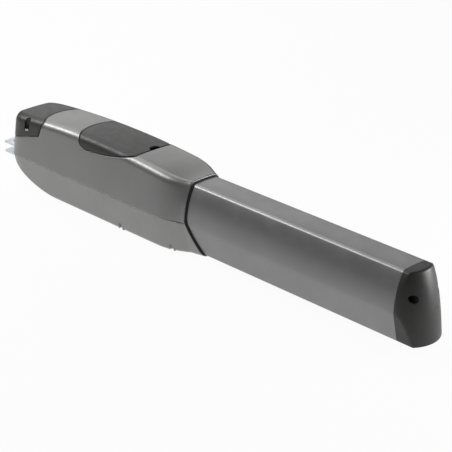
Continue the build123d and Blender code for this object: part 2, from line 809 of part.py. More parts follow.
def gear_case_rear():
    """Die-cast frame: the rear lug, the rail under the motor and the rear half of the gear case."""
    half = fork_gap / 2 - slide_play
    eye = pivot_radius + 8.0
    rail_low, rail_high = motor_z - motor_radius - 14.0, motor_z - motor_radius - 2.0
    riser_x = pivot_x + fork_eye_radius + 16.0
    body = rod((pivot_x, 0, -half), (0, 0, 1), eye, 2 * half)
    body += flat_box(pivot_x, riser_x + 10.0, -eye, eye, -half, half)
    body += flat_box(riser_x, riser_x + 10.0, -eye, eye, rail_low, half)
    body += flat_box(riser_x, motor_front_x + 1, -22.0, 22.0, rail_low, rail_high)
    body += case_slice(motor_front_x, gear_x + gear_width + 1.0 - motor_front_x)
    body -= tube_x(gear_x - 2.0, 60, gear_module * gear_teeth / 2 + 2.0, 0, screw_z)
    body -= tube_x(gear_x - 2.0, 60, gear_module * pinion_teeth / 2 + 3.0, 0, motor_z)
    body -= tube_x(motor_front_x - 5, 60, 5.0, 0, motor_z)
    body -= tube_x(motor_front_x + 3.0, 60, 10.0, 0, screw_z)
    body -= rod((pivot_x, 0, -50), (0, 0, 1), pivot_radius + 2.0, 100)
    for x in (motor_rear_x + 20.0, motor_front_x - 20.0):
        body += rod((x, 0, housing_bottom_z + housing_wall + 0.6), (0, 0, 1), 7.0, 12.0)
    return only(body)


def gear_case_front():
    """Front half of the gear case, with the neck and the plug that carry the beam."""
    x0 = gear_x + gear_width + 1.0
    body = case_slice(x0, 8.0)
    body += tube_x(x0, case_front_x - x0, clutch_radius + 7.0, 0, screw_z)
    body += tube_x(case_front_x - 1, beam_rear_x - case_front_x + 1, 17.0, 0, screw_z)
    body += beam_bar(beam_rear_x - 6.0, beam_rear_x) & flat_box(0, 900, -27, 27, -100, 45)
    plug = beam_bar(beam_rear_x - 1, beam_rear_x + 18.0, -beam_wall - 0.2)
    body += plug
    body += rod((release_x, 0, release_low_z - 8), (0, 0, 1), release_radius + 4.0, 20.0)
    sleeve_end = sleeve_x + sleeve_length + sleeve_travel + sleeve_end_play
    body -= tube_x(x0 - 1, sleeve_end - x0 + 1, clutch_radius + 1.0, 0, screw_z)
    body -= tube_x(x0 - 1, case_front_x - x0 + 10.0, 10.0, 0, screw_z)
    body -= tube_x(x0 - 1, 500, screw_radius + 2.0, 0, screw_z)
    body -= rod((release_x, 0, screw_z), (0, 0, 1), release_radius + running_play, 60)
    return only(body)


def case_screws():
    top, low, _ = case_outline()
    places = [(-top + 6.0, motor_z), (top - 6.0, motor_z), (0, motor_z + top - 6.0)]
    x0 = gear_x + gear_width + 9.0
    screws = []
    for y, z in places:
        screws.append(tube_x(x0, 3.0, 4.0, 0, z, y))
    return screws


def motor_can():
    body = tube_x(motor_rear_x, motor_length - 0.1, motor_radius, 0, motor_z)
    ring = [e for e in body.edges() if e.geom_type == GeomType.CIRCLE]
    body = body.fillet(3.0, [e for e in ring if e.center().X < motor_rear_x + 1])
    return only(body - tube_x(motor_front_x - 8.0, 20, 5.0, 0, motor_z))


def motor_end_bell():
    body = tube_x(motor_rear_x - 9.0, 9.0, motor_radius - 5.0, 0, motor_z)
    for side in (-1, 1):
        body += tube_x(motor_rear_x - 12.0, 4.0, 5.5, 0, motor_z, side * 18.0)
    return body


def motor_pinion():
    """The pinion and the end of the motor shaft that carries it."""
    turn = -pi / 2 + pi / pinion_teeth
    teeth = along_x(gear_outline(pinion_teeth, gear_module, 1.0, motor_z, turn), gear_x - 1, gear_width + 1)
    shaft = tube_x(motor_front_x - 7.5, gear_x - motor_front_x + 7.5, 4.0, 0, motor_z)
    return only(teeth + shaft)


def dogs(x0, turn):
    """Three face teeth round the screw's axis."""
    ring = tube_x(x0, dog_height, clutch_radius - 0.5, spline_across / 2 + 2.5, screw_z)
    teeth = []
    for k in range(3):
        middle = turn + 2 * pi * k / 3
        a, b = middle - radians(27), middle + radians(27)
        far = 40.0
        wedge = [
            (0, 0, screw_z),
            (0, far * cos(a), screw_z + far * sin(a)),
            (0, far * cos(b), screw_z + far * sin(b)),
        ]
        teeth.append(ring & along_x(wedge, x0, dog_height))
    return teeth


def drive_gear():
    body = along_x(gear_outline(gear_teeth, gear_module, 1.0, screw_z, pi / 2), gear_x, gear_width)
    body += tube_x(gear_x + gear_width - 1, hub_front_x - gear_x - gear_width + 1, clutch_radius, 0, screw_z)
    for tooth in dogs(hub_front_x, pi / 2):
        body += tooth
    return only(body - tube_x(gear_x - 1, 60, shaft_radius + running_play, 0, screw_z))


def spline(x0, length, across):
    corner = across / sqrt(3)
    points = [(0, corner * cos(k * pi / 3), screw_z + corner * sin(k * pi / 3)) for k in range(6)]
    return along_x(points, x0, length)


def clutch_sleeve():
    body = tube_x(sleeve_x, sleeve_length, clutch_radius, 0, screw_z)
    body -= tube_x(groove_x - groove_width / 2, groove_width, 30.0, groove_radius, screw_z)
    for tooth in dogs(sleeve_x - dog_height, pi / 2 + pi / 3):
        body += tooth
    return only(body - spline(sleeve_x - 10, 60, spline_across + 0.1))


def lead_screw():
    body = tube_x(motor_front_x + 5.0, sleeve_x - 3.6 - motor_front_x - 5.0, shaft_radius, 0, screw_z)
    body += spline(sleeve_x - 3.6, sleeve_length + 11.1, spline_across)
    body += tube_x(sleeve_x + sleeve_length + 7.0, case_front_x + 14.0 - sleeve_x - sleeve_length - 7.0,
                   shaft_radius, 0, screw_z)
    body += tube_x(case_front_x + 10.0, bearing_plate_x - 2.0 - case_front_x - 10.0, screw_radius, 0, screw_z)
    body += tube_x(bearing_plate_x - 3.0, 14.0, 5.0, 0, screw_z)
    return only(body)


def screw_bearings():
    rear = tube_x(motor_front_x + 3.2, 4.5, 9.9, shaft_radius + running_play, screw_z)
    front = tube_x(case_front_x - 2.0, 11.0, 9.9, shaft_radius + running_play, screw_z)
    return [rear, front]


def bearing_plate():
    """Plug in the beam's front end: it holds the screw's bearing and takes the cap's screws."""
    body = beam_bar(bearing_plate_x, beam_front_x - 0.2, -beam_wall - 0.2)
    body -= tube_x(bearing_plate_x - 1, 40, 8.0, 0, screw_z)
    for side in (-1, 1):
        body -= tube_x(bearing_plate_x - 1, 40, 1.9, 0, cap_screw_z, side * cap_screw_y)
    return only(body)


def front_bush():
    return tube_x(bearing_plate_x, 12.0, 7.95, 5.0 + running_play, screw_z)


def carriage_block():
    """The block that runs in the beam, with a lug through the slot for the gate's bracket."""
    inside = beam_bar(carriage_rear_x, carriage_front_x, -beam_wall - 2.4)
    body = inside & flat_box(0, 2000, -100, 100, -100, screw_z + 22.0)
    lug_x = carriage_rear_x + carriage_length / 2
    half = slot_width / 2 - 1.5
    low = beam_bottom_z - lug_drop
    body += flat_box(lug_x - 17.0, lug_x + 17.0, -half, half, low, beam_bottom_z + beam_wall + 6.0)
    body = body.fillet(5.0, [e for e in body.edges().filter_by(Axis.Z) if abs(e.center().Z - low) < 12.0])
    body -= tube_x(carriage_rear_x - 1, carriage_length + 2, screw_radius + 1.5, 0, screw_z)
    body -= tube_x(carriage_rear_x + 8.0, carriage_length, 14.0, 0, screw_z)
    body -= rod((lug_x, 0, low - 1), (0, 0, 1), carriage_bore_radius + 1.5, bush_length + 1)
    return only(body)


def carriage_nut():
    """Bronze nut, let into the block from the front."""
    return tube_x(carriage_rear_x + 8.0, carriage_length - 8.0, 14.0, screw_radius + running_play, screw_z)


def carriage_bush():
    lug_x = carriage_rear_x + carriage_length / 2
    low = beam_bottom_z - lug_drop
    return tube_z(lug_x, 0, low, bush_length, carriage_bore_radius + 1.5, carriage_bore_radius)


def slide_pads():
    """Plastic strips on the block's lower facets and floor, which run on the beam's inner faces."""
    full = beam_bar(carriage_rear_x + 4.0, carriage_front_x - 4.0, -beam_wall - 0.3)
    core = beam_bar(carriage_rear_x, carriage_front_x, -beam_wall - 2.4)
    ring = full - core
    pads = []
    for side in (-1, 1):
        y = sorted((side * (slot_width / 2 + 3.0), side * 60.0))
        strip = ring & flat_box(0, 2000, y[0], y[1], -100, screw_z + 14.0)
        pads.append(only(strip))
    return pads


def travel_stops():
    stops = []
    for x in (carriage_rear_x - 0.5 - stop_length, stop_front_x):
        block = flat_box(x, x + stop_length, -slot_width / 2 - 6, slot_width / 2 + 6,
                         beam_bottom_z + beam_wall, beam_bottom_z + beam_wall + 8.0)
        block += flat_box(x, x + stop_length, -slot_width / 2, slot_width / 2,
                          beam_bottom_z, beam_bottom_z + beam_wall)
        stops.append(block)
    return stops


def cable_grommet():
    low = housing_bottom_z + 0.2
    high = housing_bottom_z + housing_wall + 3.0
    ring = tube_z(grommet_x, 0, low, high - low, grommet_radius, 4.0)
    collar = tube_z(grommet_x, 0, housing_bottom_z + housing_wall + 0.6, 2.0, grommet_radius + 2.5, 4.0)
    membrane = rod((grommet_x, 0, housing_bottom_z + 1.0), (0, 0, 1), 5.0, 1.2)
    return ring + collar + membrane


def terminal_board():
    """Terminal strip on the motor's back, reached with the rear cap off."""
    x0 = motor_rear_x + 4.0
    z0 = motor_z + motor_radius - 2.0
    body = flat_box(x0, x0 + 34.0, -24.0, 24.0, z0, z0 + 3.6)
    for k in range(6):
        y = -20.0 + 8.0 * k
        cell = flat_box(x0 + 6.0, x0 + 18.0, y - 3.4, y + 3.4, z0 + 3.6, z0 + 12.0)
        body += cell - rod((x0 + 12.0, y, z0 + 9.0), (0, 0, 1), 2.0, 10.0)
    body -= tube_x(x0 - 1, 60, motor_radius, 0, motor_z)
    return only(body)


nodes = {
    "upper_shell": upper_shell,
    "lower_shell": lower_shell,
    "shell_screws": shell_screws,
    "rear_cap": rear_cap,
    "rear_cap_screws": rear_cap_screws,
    "release_cover": release_cover,
    "cover_hinge_pin": cover_hinge_pin,
    "release_well": release_well,
    "release_lever": release_lever,
    "release_shaft": release_shaft,
    "lock_body": lock_body,
    "lock_rotor": lock_rotor,
    "beam": beam,
    "beam_gasket": beam_gasket,
    "front_cap": front_cap,
    "front_cap_screws": front_cap_screws,
    "fork_plate_upper": lambda: fork_plate(fork_gap / 2),
    "fork_plate_lower": lambda: fork_plate(-fork_gap / 2 - plate_thickness),
    "pivot_pin": pivot_pin,
    "pivot_clip": pivot_clip,
    "pivot_bush": pivot_bush,
    "gear_case_rear": gear_case_rear,
    "gear_case_front": gear_case_front,
    "case_screws": case_screws,
    "motor_can": motor_can,
    "motor_end_bell": motor_end_bell,
    "motor_pinion": motor_pinion,
    "drive_gear": drive_gear,
    "clutch_sleeve": clutch_sleeve,
    "lead_screw": lead_screw,
    "screw_bearings": screw_bearings,
    "bearing_plate": bearing_plate,
    "front_bush": front_bush,
    "carriage_block": carriage_block,
    "carriage_nut": carriage_nut,
    "carriage_bush": carriage_bush,
    "slide_pads": slide_pads,
    "travel_stops": travel_stops,
    "cable_grommet": cable_grommet,
    "terminal_board": terminal_board,
}

for name, make in nodes.items():
    made = make()
    save(name, *(made if isinstance(made, list) else [made]))
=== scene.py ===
"""Visual model of a swing gate opener: painted skins, dark covers, slotted beam, fork and screw drive."""

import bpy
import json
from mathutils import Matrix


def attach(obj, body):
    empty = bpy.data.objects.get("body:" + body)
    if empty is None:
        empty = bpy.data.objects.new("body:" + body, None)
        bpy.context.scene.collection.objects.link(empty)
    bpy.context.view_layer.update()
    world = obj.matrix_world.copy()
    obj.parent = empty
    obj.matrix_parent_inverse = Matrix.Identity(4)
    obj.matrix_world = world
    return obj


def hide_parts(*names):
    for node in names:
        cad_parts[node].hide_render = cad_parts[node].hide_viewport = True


bl_info = {
    "name": "Swing gate opener",
    "version": (1, 0, 0),
    "blender": (4, 5, 0),
    "location": "View3D > Sidebar > Opener",
    "description": "Builds the visible skins, fittings and finishes of a swing gate opener",
    "category": "Add Mesh",
}

import json
from math import cos, pi, radians, sin, sqrt

import bmesh
import bpy
import numpy as np
from bpy.props import FloatProperty, FloatVectorProperty, PointerProperty
from mathutils import Matrix, Vector

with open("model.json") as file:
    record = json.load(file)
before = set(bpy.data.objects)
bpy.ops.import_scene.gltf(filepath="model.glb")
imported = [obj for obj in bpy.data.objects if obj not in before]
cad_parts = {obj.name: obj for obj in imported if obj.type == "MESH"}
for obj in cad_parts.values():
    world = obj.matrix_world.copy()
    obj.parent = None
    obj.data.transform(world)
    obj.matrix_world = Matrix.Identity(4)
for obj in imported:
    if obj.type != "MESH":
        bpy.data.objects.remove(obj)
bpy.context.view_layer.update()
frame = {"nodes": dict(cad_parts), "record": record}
slot_colours = {m["slot"]: tuple(m["base_color"][:3]) for m in frame["record"]["materials"]}


def number(description, default, **more):
    return FloatProperty(description=description, default=default, **more)


def length(description, default):
    """A length that a user may change, in metres."""
    return number(description, default, unit="LENGTH", precision=4)


def colour(description, default):
    return FloatVectorProperty(description=description, default=default, subtype="COLOR", size=3)


class OpenerBeam(bpy.types.PropertyGroup):
    """Sizes of the slotted beam."""

    bottom_z: length("Height of the beam's flat underside", -0.0375)
    height: length("Height of the beam over its crown", 0.104)
    crease_height: length("Height of the side crease over the underside", 0.0438)
    facet_radius: length("Radius of the slightly bowed upper facets", 0.115)
    crease_half: length("Half width at the crease", 0.0395)
    bottom_half: length("Half width at the underside", 0.0299)
    corner_radius: length("Radius of the top shoulders", 0.008)
    crown_radius: length("Radius of the slightly domed top", 0.25)
    wall: length("Thickness of the extrusion", 0.003)
    rear_x: length("Where the beam starts inside the housing", 0.418)
    front_x: length("Where the beam ends behind the front cap", 0.8436)
    slot_width: length("Width of the slot along the underside", 0.024)


class OpenerHousing(bpy.types.PropertyGroup):
    """Sizes of the moulded housing."""

    rear_x: length("Rearmost point of the nose", 0.022)
    collar_x: length("Front edge of the housing over the crease", 0.4385)
    chin_reach: length("How far the underside runs on past the collar", 0.0315)
    half: length("Half width at the crease", 0.0545)
    bottom_z: length("Height of the flat underside", -0.0505)
    crown_x: length("Where the top is highest", 0.222)
    crown_z: length("Height of the top at its highest", 0.0842)
    crown_sweep: length("Radius of the top along the housing", 1.8)
    shoulder_radius: length("Radius of the top shoulders", 0.015)
    crown_radius: length("Radius of the domed top across the housing", 0.62)
    lean: number("Slope of the upper side facets", 0.141)
    sill_radius: length("Radius of the bottom corners", 0.009)
    nose_length: length("Length over which the sides round in", 0.07)
    neck_length: length("Length over which the housing closes on the beam", 0.07)
    wall: length("Thickness of the moulding", 0.003)
    gap: length("Gap between the shell and its covers", 0.0013)
    edge_radius: length("Rounding of the panel edges", 0.0011)
    lip: length("How far the collar stands over the gasket", 0.002)
    gasket: length("Thickness of the rubber gasket", 0.0014)
    gasket_show: length("How far the gasket shows past the collar", 0.003)
    well_radius: length("Radius of the wells in the underside", 0.006)
    well_inset: length("Step of the wells in from the widest line", 0.0156)
    well_depth: length("Depth of the wells from the underside", 0.032)
    middle_well_x: length("Place of the middle wells along the housing", 0.2926)
    front_well_x: length("Place of the front wells along the housing", 0.4063)


class OpenerCovers(bpy.types.PropertyGroup):
    """Sizes of the rear cap and the release cover."""

    cap_front_x: length("Front edge of the rear cap at its sides", 0.107)
    cap_bow: length("How far that edge bows back in the middle", 0.0155)
    cap_bow_half: length("Half width of the bow", 0.04)
    cap_edge_z: length("Height of the side edge at the origin", 0.027)
    cap_lean_z: length("Height under which the front edge leans back", 0.0766)
    cap_well_radius: length("Radius of the slots for the rear cap's screws", 0.0055)
    cap_well_x: length("Place of those slots along the housing", 0.069)
    cap_well_floor: length("Height of the ledge that the screws sit on", 0.054)
    rear_x: length("Rearmost point of the release cover", 0.1866)
    front_x: length("Front edge of the release cover", 0.3246)
    bow: length("Radius of the cover's rear edge", 0.078)
    shoulder_half: length("Half width of the cover's front part", 0.0355)
    wing_rear_x: length("Rear edge of the side wings", 0.198)
    wing_bottom_z: length("Lowest point of the side wings", 0.0628)
    wing_corner: length("Radius of the wings' lower corner", 0.018)
    wing_sag: length("Sag of the wings' lower edge", 0.0046)
    notch: length("Radius of the notch in the front edge", 0.0095)
    notch_y: length("Side step of the notch", 0.005)


class OpenerFrontCap(bpy.types.PropertyGroup):
    """Sizes of the cap on the beam's front end."""

    reach: length("How far the cap stands out at its foot", 0.0395)
    low_radius: length("Radius of the nose in plan under the beam", 0.047)
    top_radius: length("Radius of the nose in plan over the beam", 0.035)
    lean: length("How far the nose leans back", 0.007)
    bulge: length("Extra fall of the nose towards the top", 0.0135)
    edge: length("Rounding round the nose", 0.0025)
    screw_y: length("Distance of each screw from the middle", 0.0255)
    screw_z: length("Height of the screws", 0.031)
    well: length("Radius of the screw wells", 0.0055)
    depth: length("Place of the screw heads in front of the beam", 0.005)


class OpenerFinish(bpy.types.PropertyGroup):
    """Colours of the finishes that the outside shows."""

    paint: colour("Satin metallic paint of the housing", (0.238, 0.235, 0.233))
    beam_paint: colour("Satin metallic paint of the beam", (0.235, 0.233, 0.233))
    charcoal: colour("Moulded covers and caps", (0.021, 0.020, 0.019))
    black: colour("Black mouldings under the covers", (0.012, 0.012, 0.012))
    galvanised: colour("Hot-dip galvanised plate", (0.66, 0.69, 0.71))


class OpenerStage(bpy.types.PropertyGroup):
    """Camera and light."""

    azimuth: number("Camera angle from the front", radians(46.1), subtype="ANGLE")
    elevation: number("Camera angle over the floor", radians(24.1), subtype="ANGLE")
    roll: number("Turn about the view axis", radians(0.14), subtype="ANGLE")
    lens: number("Focal length of the camera", 130.5, unit="CAMERA")
    place: FloatVectorProperty(description="Where the camera stands", default=(2.0767, -1.5325, 0.9937),
                               subtype="TRANSLATION")
    top_light: number("Power of the large lamp overhead", 7.5)
    ridge_light: number("Power of the long lamp that draws the shoulders", 14.0)
    far_light: number("Power of the lamp that the top reflects", 3.4)
    front_light: number("Power of the lamp before the front cap", 7.0)
    sky: number("Strength of the even light", 0.16)
    mirrored_sky: number("Strength of the sky in reflections", 0.22)
    floor_white: number("Share of plain white in the floor as it is seen", 0.95)
    mirror_near: length("Distance from the axis up to which reflections show it white", 0.1)
    mirror_far: length("Distance from the axis at which that white has faded", 0.32)
    mirror_rest: number("Share of white in reflections past that", 0.08)


def settings():
    """The property groups that the operators read."""
    scene = bpy.context.scene
    return (scene.opener_beam, scene.opener_housing, scene.opener_covers, scene.opener_front_cap,
            scene.opener_finish, scene.opener_stage)


# Numbers of the shapes that the settings above leave out. Lengths are in metres.

# Laws of the housing
NOSE_POWER = 5.0
NOSE_START = 0.0005
NOSE_RISE = 0.018
NOSE_LEVEL = 0.02
NOSE_CLOSING = 0.02
TAIL_X = 0.13
TAIL_RADIUS = 0.146
BELLY_X = 0.385
BELLY_POWER = 1.3
NECK_POWER = 2.3
LEAST_SHOULDER = 0.0015

# Edges and openings of the panels
CAP_SLOPE = 0.26
CAP_LEAN = 0.333
COVER_WALL = 0.0026
SEAM_GAP = 0.00025
SEAM_BEND_Z = 0.006
CHIN_END = 0.0025
WING_TIP_X = 0.012
WING_TIP_Z = 0.0005
CROWN_DEPTH = 0.01
REAR_WIDER = 0.0065
MOUTH_END = 0.06
MOUTH_HALF = 0.042
CAP_MOUTH_HALF = 0.04
MOUTH_HIGH = 0.0135
ENTRY_X = 0.16
ENTRY_RADIUS = 0.009
WELL_CATCH = 0.006
WELL_CLEAR = 0.0015
SHELF_CLEAR = 0.0003

# Rear cap's ledge: how far it runs past the cap's edge and under it, its step under the wall, its
# own wall and its rolled edge
LEDGE_PAST = 0.0045
LEDGE_UNDER = 0.003
LEDGE_STEP = 0.00015
LEDGE_WALL = 0.0012
LEDGE_EDGE = 0.0003

# Beam and front cap
BEAM_SILL = 0.002
BEAM_LEAST_ARC = 0.0006
GASKET_EDGE = 0.0006
GASKET_PLAY = 0.0001
RIM_STOP = 8.2
CAP_SPARE = 0.003
CAP_PLAY = 0.0003
CAP_WALL = 0.0028
CAP_WELL_EDGE = 0.0005
WALL_SINK = 0.0006

# Meshes: distances between stations, distance under which corners are joined, and the steps of
# the normals' differences
STATION = 0.0025
NOSE_STATION = 0.0018
COVER_STATION = 0.0022
GASKET_STATION = 0.002
WELD = 2e-6
STEP_ALONG = 2e-5
STEP_ROUND = 2e-3

# Floor
FLOOR_X = 0.45
FLOOR_RADIUS = 9
FLOOR_DROP = 0.0004


# Sections. Every shape is worked out in metres, as whole arrays.


def seam_of(beam):
    """Height of the side crease, where the two shells meet."""
    return beam.bottom_z + beam.crease_height


def lean_down(beam):
    """Slope of the lower side facets, from the beam's widths and heights."""
    return (beam.crease_half - beam.bottom_half) / beam.crease_height


def upper_outline(beam, a, half, top, radius, crown, lean, facet=None):
    """Half of the section over the crease. a runs 0..1 on the crown arc from the middle,
    1..2 on the shoulder arc and 2..3 down the facet to the crease. A straight facet leans, and
    the shoulder's centre is where a line parallel to it is the crown radius less its own from
    the crown's centre. A bowed facet is an arc that stands upright at the crease, and the
    shoulder's centre is where the two circles drawn in by its radius cross."""
    seam = seam_of(beam) - (top - crown)
    if facet is None:
        scale = 1 / sqrt(1 + lean * lean)
        along_y, along_z = -lean * scale, scale
        in_y, in_z = -scale, -lean * scale
        foot_y = half + in_y * radius
        foot_z = seam + in_z * radius
        along = foot_y * along_y + foot_z * along_z
        climb = -along + np.sqrt(along**2 - foot_y**2 - foot_z**2 + (crown - radius) ** 2)
        centre_y = foot_y + along_y * climb
        centre_z = foot_z + along_z * climb
        angle_side = np.arctan2(-in_z, -in_y)
    else:
        away_y, away_z = half - facet, seam
        reach = np.hypot(away_y, away_z)
        along = ((crown - radius) ** 2 - (facet - radius) ** 2 + reach**2) / (2 * reach)
        across = np.sqrt((crown - radius) ** 2 - along**2)
        centre_y = (along * away_y + across * away_z) / reach
        centre_z = (along * away_z - across * away_y) / reach
        angle_side = np.arctan2(centre_z - away_z, centre_y - away_y)
    angle_top = np.arctan2(centre_z, centre_y)
    turn = pi / 2 + (angle_top - pi / 2) * np.clip(a, 0, 1)
    bend = angle_top + (angle_side - angle_top) * np.clip(a - 1, 0, 1)
    slide = np.clip(a - 2, 0, 1)
    y = np.where(a < 1, crown * np.cos(turn), centre_y + radius * np.cos(bend))
    z = np.where(a < 1, crown * np.sin(turn), centre_z + radius * np.sin(bend))
    if facet is None:
        end_y = centre_y - in_y * radius
        end_z = centre_z - in_z * radius
        side_y = end_y + (half - end_y) * slide
        side_z = end_z + (seam - end_z) * slide
    else:
        side_y = away_y + facet * np.cos(angle_side * (1 - slide))
        side_z = away_z + facet * np.sin(angle_side * (1 - slide))
    y = np.where(a > 2, side_y, y)
    z = np.where(a > 2, side_z, z)
    return y, z + top - crown


def lower_outline(beam, a, half, bottom, radius):
    """Half of the section under the crease. a runs 0..1 on the flat from the middle, 1..2 on
    the sill arc and 2..3 up the leaning facet to the crease."""
    down = lean_down(beam)
    seam = seam_of(beam)
    scale = 1 / sqrt(1 + down * down)
    down_y, down_z = -down * scale, -scale
    in_y, in_z = -scale, down * scale
    start_y = half + in_y * radius
    start_z = seam + in_z * radius
    drop = (bottom + radius - start_z) / down_z
    sill_y = start_y + down_y * drop
    sill_z = start_z + down_z * drop
    angle_side = np.arctan2(-in_z, -in_y)
    bend = -pi / 2 + (angle_side + pi / 2) * np.clip(a - 1, 0, 1)
    slide = np.clip(a - 2, 0, 1)
    side_y = sill_y - in_y * radius
    side_z = sill_z - in_z * radius
    y = np.where(a < 1, sill_y * np.clip(a, 0, 1), sill_y + radius * np.cos(bend))
    z = np.where(a < 1, bottom, sill_z + radius * np.sin(bend))
    y = np.where(a > 2, side_y + (half - side_y) * slide, y)
    z = np.where(a > 2, side_z + (seam - side_z) * slide, z)
    return y, z


def beam_upper(beam, a, grow):
    """Upper half of the beam's section, grown by an even amount."""
    return upper_outline(beam, a, beam.crease_half + grow, beam.bottom_z + beam.height + grow,
                         max(beam.corner_radius + grow, 0.001), beam.crown_radius + grow, 0.0,
                         beam.facet_radius + grow)


def beam_surface(beam, grow):
    """Surface of the beam, grown by an even amount: x along it, w round it. w from 0 to 6 goes
    over the top from crease to crease, and from 6 to 12 back under it."""
    def surface(x, w):
        over = w <= 6
        a = np.abs(np.where(over, w - 3, w - 9))
        side = np.where(over, np.sign(3 - w), np.sign(w - 9))
        top_y, top_z = beam_upper(beam, a, grow)
        low_y, low_z = lower_outline(beam, a, beam.crease_half + grow, beam.bottom_z - grow,
                                     max(BEAM_SILL + grow, BEAM_LEAST_ARC))
        y = np.where(over, top_y, low_y) * side
        return np.stack([x, y, np.where(over, top_z, low_z)], 1)
    return surface


def rounded_end(h, x, over):
    """Share of full size: the fifth root of one less the fifth power of the way to the tip."""
    t = np.clip((h.rear_x + over - x) / over, 0, 1)
    return (1 - t**NOSE_POWER) ** (1 / NOSE_POWER)


def neck_share(h, x):
    """How far the housing has closed on the beam at x, from 0 to 1, as a power of the way."""
    return np.clip((x - h.collar_x + h.neck_length) / h.neck_length, 0, 1) ** NECK_POWER


def shoulder_of(h, x, inset=0.0):
    """Radius of the top shoulders at x, which falls to a least value at the nose."""
    return np.maximum(h.shoulder_radius * rounded_end(h, x, NOSE_RISE) - inset, LEAST_SHOULDER)


def housing_laws(beam, h, x):
    """Half width, top and bottom of the housing at x: a long arc over the top, the rounded nose,
    a circular rise under the tail and a power curve that closes the neck on the beam."""
    neck = neck_share(h, x)
    collar_half = beam.crease_half + h.gasket + h.lip
    half = h.half * rounded_end(h, x, h.nose_length) * (1 - neck) + collar_half * neck
    arch = h.crown_z - (x - h.crown_x) ** 2 / (2 * h.crown_sweep)
    collar_top = beam.bottom_z + beam.height + h.gasket + h.lip
    full = arch * (1 - neck) + collar_top * neck
    top = NOSE_LEVEL + (full - NOSE_LEVEL) * rounded_end(h, x, NOSE_RISE)
    back = np.maximum(TAIL_X - x, 0)
    tail = TAIL_RADIUS - np.sqrt(TAIL_RADIUS**2 - back**2)
    chin_x = h.collar_x + h.chin_reach
    ahead = np.clip((x - BELLY_X) / (chin_x - BELLY_X), 0, 1)
    chin_z = beam.bottom_z - h.gasket - h.lip
    bottom = h.bottom_z + tail + (chin_z - h.bottom_z) * ahead**BELLY_POWER
    return half, top, bottom


def housing_surface(beam, h, upper, inset=0.0):
    """Surface of the housing over or under the crease, or the same drawn in. x runs along it;
    below the first station the section shrinks to its middle and closes the nose. w runs from
    crease to crease. Toward the collar the upper half blends into the beam's outline."""
    first = h.rear_x + NOSE_START
    seam = seam_of(beam)

    def surface(x, w):
        shrink = np.clip(1 + (x - first) / NOSE_CLOSING, 0, 1)
        x = np.maximum(x, first)
        half, top, bottom = housing_laws(beam, h, x)
        a = np.abs(w - 3)
        if upper:
            radius = shoulder_of(h, x, inset)
            y, z = upper_outline(beam, a, half - inset, top - inset, radius, h.crown_radius, h.lean)
            beam_y, beam_z = beam_upper(beam, a, h.gasket + h.lip)
            close = neck_share(h, x) ** 2
            y = y + (beam_y - y) * close
            z = z + (beam_z - z) * close
        else:
            radius = np.maximum(np.minimum(h.sill_radius, 0.6 * (seam - bottom)), 0.001)
            y, z = lower_outline(beam, a, half, bottom, radius)
        middle = (top + bottom) / 2
        side = np.sign(3 - w) if upper else np.sign(w - 3)
        return np.stack([x, y * side * shrink, middle + (z - middle) * shrink], 1)
    return surface


# Edges. Each field is a signed distance that is positive on the side that is kept.


def front_edge(beam, h, shift):
    """Housing's front edge in side view: upright over the crease, then an arc through three
    points that sweeps forward to the chin."""
    seam = seam_of(beam)
    p = [(h.collar_x + shift, seam + SEAM_BEND_Z),
         (h.collar_x + shift + 0.33 * h.chin_reach, seam - 0.42 * beam.crease_height),
         (h.collar_x + shift + h.chin_reach, beam.bottom_z - CHIN_END)]
    (ax, az), (bx, bz), (cx, cz) = p
    d = 2 * (ax * (bz - cz) + bx * (cz - az) + cx * (az - bz))
    mx = ((ax**2 + az**2) * (bz - cz) + (bx**2 + bz**2) * (cz - az) + (cx**2 + cz**2) * (az - bz)) / d
    mz = ((ax**2 + az**2) * (cx - bx) + (bx**2 + bz**2) * (ax - cx) + (cx**2 + cz**2) * (bx - ax)) / d
    r = np.hypot(ax - mx, az - mz)
    outside = 1.0 if mx > ax else -1.0

    def field(q):
        arc = outside * (np.hypot(q[:, 0] - mx, q[:, 2] - mz) - r)
        return np.where(q[:, 2] > az, ax - q[:, 0], arc)
    return field


def cap_area(c, grow):
    """Distance into the area of the rear cap: behind a bowed front edge that leans back down the
    sides, and over a sloping side edge."""
    front = c.cap_front_x + grow
    radius = (c.cap_bow_half**2 + c.cap_bow**2) / (2 * c.cap_bow)
    centre = front - c.cap_bow + radius

    def field(q):
        bowed = np.hypot(q[:, 0] - centre, q[:, 1]) - radius
        fall = CAP_LEAN * np.maximum(c.cap_lean_z - q[:, 2], 0)
        plan = np.where(np.abs(q[:, 1]) < c.cap_bow_half, bowed, front - q[:, 0])
        slant = np.sqrt(1 + CAP_LEAN**2 * (q[:, 2] < c.cap_lean_z))
        plan = np.minimum(plan, (front - fall - q[:, 0]) / slant)
        side = (q[:, 2] - c.cap_edge_z + grow - CAP_SLOPE * q[:, 0]) / sqrt(1 + CAP_SLOPE**2)
        return np.minimum(plan, side)
    return field


